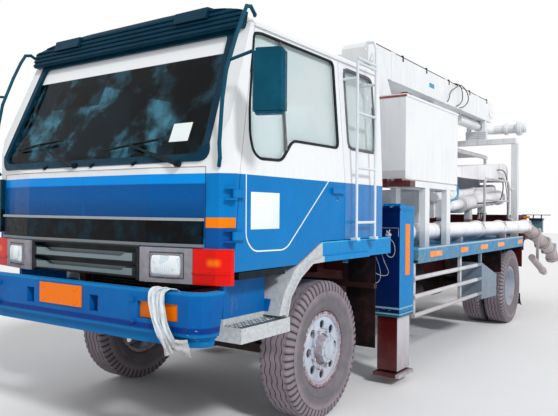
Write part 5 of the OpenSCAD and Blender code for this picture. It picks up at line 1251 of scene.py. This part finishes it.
treadValues = {"x": (0.93, 1.175), "s": (0.24, 0.72), "top": 0.860, "pitch": 0.036,
               "long": 0.0150, "wide": 0.0056, "height": 0.0032}


def makeStepTread(values):
    deselectEverything()
    bpy.ops.mesh.primitive_cylinder_add(vertices=8, radius=1, depth=1)
    bar = bpy.context.object
    edit(bar)
    bpy.ops.mesh.bevel(offset=0.12, segments=1, affect="EDGES")
    bpy.ops.object.mode_set(mode="OBJECT")
    bar.scale = (values["long"], values["wide"], values["height"] * 2)
    settle(bar)
    (x0, x1), (s0, s1), pitch = values["x"], values["s"], values["pitch"]
    parts = []
    for row in range(int((s1 - s0) / pitch) + 1):
        for column in range(int((x1 - x0) / pitch) + 1):
            one = bar.copy()
            one.data = bar.data.copy()
            bpy.context.scene.collection.objects.link(one)
            one.rotation_euler.z = math.radians(45 if (row + column) % 2 else -45)
            one.location = cab(x0 + column * pitch, s0 + row * pitch, values["top"])
            parts.append(one)
    dropMaster(bar)
    return joinPieces(parts)


bothSides(makeStepTread(treadValues), "stepTread", "chassis", "galvanised", "ladder", 30)
print("steps dressed")


# reflectors, strips on the jacks, and the knot at the fender

markValues = {
    "railMarks": ((3.26, 3.60), (4.20, 4.45), (4.95, 5.24), (5.70, 6.00), (6.74, 7.00)),
    "railHeights": (1.115, 1.172),
    "jackStrip": ((2.600, 0.990), (2.697, 1.456)),
    "jackWeld": ((0.985, 1.418), (1.207, 1.421), (1.2085, 1.345)),
    "knot": (1.165, -2.182, 1.362),
    "loops": ((0, 20, 0.020), (65, -35, 0.018), (125, 50, 0.017), (15, 80, 0.014)),        # turn, lean, radius
}


def addMarks(values):
    z0, z1 = values["railHeights"]
    marks = [addBlock(cab(1.199, s0, z0), cab(1.2025, s1, z1), 0.001) for s0, s1 in values["railMarks"]]
    bothSides(joinPieces(marks), "railReflectors", "chassis", "signal_lens", "reflector")
    (s0, z0), (s1, z1) = values["jackStrip"]
    strip = addBlock(cab(1.219, s0, z0), cab(1.2215, s1, z1), 0.0008)
    bothSides(strip, "jackStrip", ("outrigger_l", "outrigger_r"), "signal_lens", "amber")
    weld = addBar([(x, -2.0605, z) for x, z in values["jackWeld"]], 0.0024, 6)
    bothSides(weld, "jackWeld", ("outrigger_l", "outrigger_r"), "deep_blue", "rope")


def tieKnot(values):
    x, y, z = values["knot"]
    loops = []
    for turn, lean, size in values["loops"]:
        deselectEverything()
        turns = [math.radians(angle) for angle in (lean, turn, turn * 0.7)]
        bpy.ops.mesh.primitive_torus_add(major_segments=28, minor_segments=8, major_radius=size,
                                         minor_radius=0.008, location=(x, y, z), rotation=turns)
        loops.append(bpy.context.object)
    for dx, dz in ((0.012, 0.045), (-0.016, 0.036)):
        end = [(x, y, z), (x + dx * 0.6, y - 0.006, z + dz * 0.6), (x + dx, y + 0.006, z + dz)]
        loops.append(addBar(end, 0.006))
    finishPiece(joinPieces(loops), "ropeKnot", "chassis", "seat_cloth", "rope", 60)


addMarks(markValues)
tieKnot(markValues)
print("marks and knot added")


# boom: oil pipes with their clips, and a bare mark

boomValues = {
    "pipes": (0.398, 0.366, 0.334),
    "pipeY": (-1.02, 3.36),
    "pipeTop": 3.4545,
    "clips": (-0.17, 0.60, 1.46, 2.40, 3.30),
    "mark": ((0.70, 3.235), (0.88, 3.295)),
}


def dressBoom(values):
    (y0, y1), top = values["pipeY"], values["pipeTop"]
    along = ((y0, top - 0.02), (y0 + 0.03, top), (y1 - 0.03, top), (y1, top - 0.02))
    parts = [addBar([(x, y, z) for y, z in along], 0.0085) for x in values["pipes"]]
    finishPiece(joinPieces(parts), "boomOilPipes", "boom_root", "machine_paint", "hose_grey")
    clips = []
    for y in values["clips"]:
        clips += [addBlock((0.318, y - 0.018, 3.438), (0.419, y + 0.018, 3.468), 0.003),
                  addBlock((0.413, y - 0.016, 3.395), (0.4205, y + 0.016, 3.455), 0.002),
                  addDisc((0.421, y, 3.41), "X", 0.007, 0.006, 6, 0.001)]
    finishPiece(joinPieces(clips), "boomClips", "boom_root", "dark_steel")
    (y0, z0), (y1, z1) = values["mark"]
    mark = addBlock((0.414, y0, z0), (0.4165, y1, z1), 0.001)
    finishPiece(mark, "boomMark", "boom_root", "machine_paint", "hose_blue")


dressBoom(boomValues)
print("boom dressed")


# couplings of the pipe, valve levers, caps of the tanks

pipeValues = {
    "start": (0.808, 2.84),
    "end": (1.05, 7.75),
    "height": 1.345,
    "radius": 0.098,
    "rings": (2.93, 4.37, 5.57, 6.47, 7.72),
    "fallRings": (0.26, 0.66, 0.72, 0.97),
    "turn": 10.0,
    "drop": 22.0,
    "bend": 0.30,
}
deckValues = {
    # place and lean of each
    "levers": ((6.36, 0.02), (6.44, -0.015), (6.52, 0.01), (6.60, 0.03), (6.68, -0.02), (6.76, 0.012)),
    "ports": (6.36, 6.52, 6.68),
    "block": ((0.66, 6.30, 1.285), (0.76, 6.82, 1.425)),
    "capAcross": 0.84,
    "capY": -1.11,
    "capRadius": 0.078,
}


def addCoupling(centre, along, radius):
    # two lugs with a bolt and a lever over the ring
    along = Vector(along).normalized()
    parts = []
    for turn in (35, 215):
        out = Vector((math.cos(math.radians(turn)), 0, math.sin(math.radians(turn))))
        out = (out - along * out.dot(along)).normalized()
        base = Vector(centre) + out * (radius + 0.028)
        side = along.cross(out)
        parts += [addBar([base - side * 0.030, base + side * 0.030], 0.011),
                  addBar([base - along * 0.020 - side * 0.012, base + along * 0.020 - side * 0.012], 0.016),
                  addBar([base + side * 0.02, base + side * 0.075 - out * 0.012], 0.006)]
    return parts


def dressPipe(values):
    (x0, s0), (x1, s1) = values["start"], values["end"]
    parts = []
    along = Vector((x1 - x0, s1 - s0, 0)).normalized()
    for s in values["rings"]:
        t = (s - s0) / (s1 - s0)
        parts += addCoupling(cab(x0 + (x1 - x0) * t, s, values["height"]), along, values["radius"])
    turn, drop = math.radians(values["turn"]), math.radians(values["drop"])
    fall = Vector((math.sin(turn) * math.cos(drop), math.cos(turn) * math.cos(drop), -math.sin(drop)))
    forth, down = values["bend"] * math.sin(drop), values["bend"] * (1 - math.cos(drop))
    start = Vector(cab(x1 + forth * math.sin(turn), s1 + forth * math.cos(turn), values["height"] - down))
    for reach in values["fallRings"]:
        parts += addCoupling(start + fall * reach, fall, values["radius"])
    finishPiece(joinPieces(parts), "pipeCouplings", "chassis", "galvanised")


def dressDeck(values):
    parts, knobs = [], []
    for s, lean in values["levers"]:
        top = cab(0.72, s + lean * 1.6, 1.545)
        parts.append(addBar([cab(0.70, s, 1.42), cab(0.715, s + lean, 1.50), top], 0.006))
        knobs.append(addDisc(cab(0.72, s + lean * 1.7, 1.552), "Z", 0.013, 0.022, 16, 0.006))
    low, high = values["block"]
    parts.append(addBlock(cab(*low), cab(*high), 0.008))
    parts += [addBar([cab(0.76, s, 1.33), cab(0.785, s, 1.33)], 0.013) for s in values["ports"]]
    finishPiece(joinPieces(parts), "valveBlock", "chassis", "dark_red")
    finishPiece(joinPieces(knobs), "valveKnobs", "chassis", "dark_plastic", "hose_black")
    caps, y = [], values["capY"]
    for side in (-1, 1):
        x = side * values["capAcross"]
        handle = [(x + dx, y, z) for dx, z in ((-0.05, 2.804), (-0.03, 2.826), (0.03, 2.826), (0.05, 2.804))]
        caps += [addDisc((x, y, 2.790), "Z", values["capRadius"], 0.030, 32, 0.008),
                 addDisc((x, y, 2.812), "Z", 0.020, 0.016, 16, 0.004), addBar(handle, 0.006)]
    finishPiece(joinPieces(caps), "tankCaps", "chassis", "machine_paint", "dark_steel")


dressPipe(pipeValues)
dressDeck(deckValues)
print("pipe and deck dressed")


# mirror glass and the tail lamps' carriers

mirrorValues = {"centre": (1.45, 0.13, 2.295), "turn": 20.0, "size": (0.150, 0.290)}
tailValues = {"bar": ((0.80, 8.648, 1.529), (1.27, 8.672, 1.541)), "posts": (0.99, 1.12),
              "marker": (0.885, 8.62, 1.495)}


def dressMirrors(values):
    wide, tall = values["size"]
    glass = addBlock((-wide / 2, 0.0335, -tall / 2), (wide / 2, 0.0375, tall / 2), 0.0015)
    glass.rotation_euler.z = math.radians(values["turn"])
    glass.location = cab(*values["centre"])
    settle(glass)
    bothSides(glass, "mirrorGlass", "chassis", "glass", "mirror_glass")


def dressTail(values):
    low, high = values["bar"]
    parts = [addBlock(cab(*low), cab(*high), 0.002)]
    parts += [addBar([cab(x, 8.655, 1.475), cab(x, 8.66, 1.53)], 0.010) for x in values["posts"]]
    bothSides(joinPieces(parts), "tailBar", "chassis", "dark_steel", "hose_black")
    x, s, z = values["marker"]
    marker = addBlock(cab(x - 0.05, s - 0.02, z - 0.022), cab(x + 0.05, s + 0.04, z + 0.018), 0.006)
    bothSides(marker, "tailMarker", "chassis", "signal_lens", "amber")


dressMirrors(mirrorValues)
dressTail(tailValues)
print("mirrors and tail dressed")


# torn end of the left rear flap

flapValues = {
    "x": (0.90, 1.16),
    "path": ((7.062, 0.36), (7.072, 0.30), (7.10, 0.25), (7.15, 0.21), (7.22, 0.175), (7.30, 0.16)),
    "rows": 18,
}


def makeTornFlap(values):
    (x0, x1), rows = values["x"], values["rows"]
    flap = addGrid(10, rows)
    path = flowingPath([(0, s, z) for s, z in values["path"]], rows + 1)[0]
    for vertex in flap.data.vertices:
        u, row = vertex.co.x + 0.5, round((vertex.co.y + 0.5) * rows)
        t = row / rows
        x = x0 + (x1 - x0) * (u * (1 - 0.35 * t * t) + 0.25 * t * t)
        place = path[row]
        vertex.co = cab(x, place.y + 0.02 * t * math.sin(u * 5), place.z + 0.015 * t * math.sin(u * 9 + 1))
    applyModifier(flap, "SOLIDIFY", thickness=0.008, offset=0)
    applyModifier(flap, "BEVEL", width=0.002, segments=1, limit_method="ANGLE")
    finishPiece(flap, "tornFlap", "chassis", "tyre")


makeTornFlap(flapValues)
print("flap made")


# seats, padded by a cloth run that starts a little small

seatValues = {
    "voxel": 0.007,
    "pressure": 4.0,
    "frames": 20,
    "mostMove": 0.016,
    "channels": (-0.125, -0.042, 0.042, 0.125),
    "channelDepth": 0.007,
    "middle": 0.64,
    "fill": 0.7,
}


def puffPad(pad, values):
    applyModifier(pad, "REMESH", mode="VOXEL", voxel_size=values["voxel"])
    start = [vertex.co.copy() for vertex in pad.data.vertices]
    useOnly(pad)
    bpy.ops.object.modifier_add(type="CLOTH")
    cloth = pad.modifiers[-1]
    cloth.settings.quality = 4
    cloth.settings.use_pressure = True
    cloth.settings.uniform_pressure_force = values["pressure"]
    cloth.settings.effector_weights.gravity = 0
    cloth.point_cache.frame_start = 1
    cloth.point_cache.frame_end = values["frames"]
    for frameNumber in range(1, values["frames"] + 1):
        bpy.context.scene.frame_set(frameNumber)
    bpy.ops.object.modifier_apply(modifier=cloth.name)
    bpy.context.scene.frame_set(1)
    for vertex, place in zip(pad.data.vertices, start):
        move = vertex.co - place
        if move.length > values["mostMove"]:
            vertex.co = place + move.normalized() * values["mostMove"]
    applyModifier(pad, "SMOOTH", factor=0.5, iterations=6)
    return pad


def sewChannels(pad, values, upFace):
    for vertex in pad.data.vertices:
        facing = max(0.0, vertex.normal.dot(upFace))
        near = min(abs(vertex.co.x - values["middle"] - x) for x in values["channels"])
        vertex.co -= vertex.normal * values["channelDepth"] * facing * math.exp(-(near / 0.008) ** 2)
    return pad


def makeSeats(values):
    m = values["middle"]
    cushion = addBlock(cab(m - 0.238, 1.248, 1.420), cab(m + 0.238, 1.690, 1.572), 0.045, 4)
    cushion = sewChannels(puffPad(cushion, values), values, Vector((0, 0, 1)))
    pads = bothSides(cushion, "seatCushion", "chassis", "seat_cloth", None, 60)
    back = addBlock((m - 0.218, -0.078, 0), (m + 0.218, 0.066, 0.665), 0.045, 4)
    back.rotation_euler.x = math.radians(-11.0)
    back.location = cab(0, 1.675, 1.585)
    settle(back)
    back = sewChannels(puffPad(back, values), values, Vector((0, -1, 0.2)).normalized())
    for pad in pads + bothSides(back, "seatBack", "chassis", "seat_cloth", None, 60):
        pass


makeSeats(seatValues)
print("seats padded")


# driver's place

cabinValues = {"gear": (0.22, 0.95), "gauges": ((0.56, 0.045), (0.68, 0.045), (0.76, 0.025))}


def dressCabin(values):
    x, s = values["gear"]
    stick = [cab(x, s, 1.40), cab(x, s, 1.52), cab(x + 0.02, s + 0.03, 1.70), cab(x + 0.03, s + 0.05, 1.80)]
    parts = [addBar(stick, 0.008), addDisc(cab(x + 0.03, s + 0.05, 1.815), "Z", 0.024, 0.05, 20, 0.016),
             addDisc(cab(x, s, 1.43), "Z", 0.05, 0.05, bevel=0.02),
             addBlock(cab(0.46, 0.44, 1.79), cab(0.84, 0.56, 1.90), 0.018, 3)]
    finishPiece(joinPieces(parts), "gearAndBinnacle", "chassis", "dark_plastic")
    dials = [addDisc(cab(gx, 0.562, 1.845), "Y", r, 0.006, 28, 0.001) for gx, r in values["gauges"]]
    finishPiece(joinPieces(dials), "gauges", "chassis", "dark_plastic", "bare_card")


dressCabin(cabinValues)
print("cabin dressed")


# floor and light

stageValues = {
    "floor": (0.86, 0.86, 0.87),
    "sky": (1.0, 1.0, 1.0),
    "skyStrength": 0.62,
    "sunStrength": 1.9,
    "sunFrom": (0.72, -0.36, 0.60),
    "sunAngle": 9.0,
}


def makeStage(values):
    deselectEverything()
    bpy.ops.mesh.primitive_plane_add(size=90, location=(0, 0, -0.002))
    floor = bpy.context.object
    floor.name = "floor"
    material, tree, shader = openMaterial("floorPaper")
    paler = [c * 1.02 for c in values["floor"]]
    shade = blendColors(tree, fade(tree, grain(tree, 0.6, 3.0), 0.3, 0.7), values["floor"], paler)
    feed(tree, shader, {"Base Color": shade, "Roughness": 0.9})
    floor.data.materials.append(material)
    world = bpy.data.worlds.new("studio")
    bpy.context.scene.world = world
    world.use_nodes = True
    tree = world.node_tree
    rays = tree.nodes.new("ShaderNodeLightPath").outputs
    seen = calc(tree, "MAXIMUM", rays["Is Glossy Ray"], rays["Is Transmission Ray"])
    seen = calc(tree, "MAXIMUM", rays["Is Camera Ray"], seen)
    strength = fade(tree, seen, 0.0, 1.0, values["skyStrength"], 1.0)
    feed(tree, tree.nodes["Background"], {"Color": (*values["sky"], 1), "Strength": strength})
    deselectEverything()
    bpy.ops.object.light_add(type="SUN")
    sun = bpy.context.object
    sun.name = "keySun"
    sun.data.energy = values["sunStrength"]
    sun.data.angle = math.radians(values["sunAngle"])
    sun.rotation_euler = Vector(values["sunFrom"]).to_track_quat("Z", "Y").to_euler()


makeStage(stageValues)
bpy.context.scene.view_settings.view_transform = "Standard"
print("stage made")
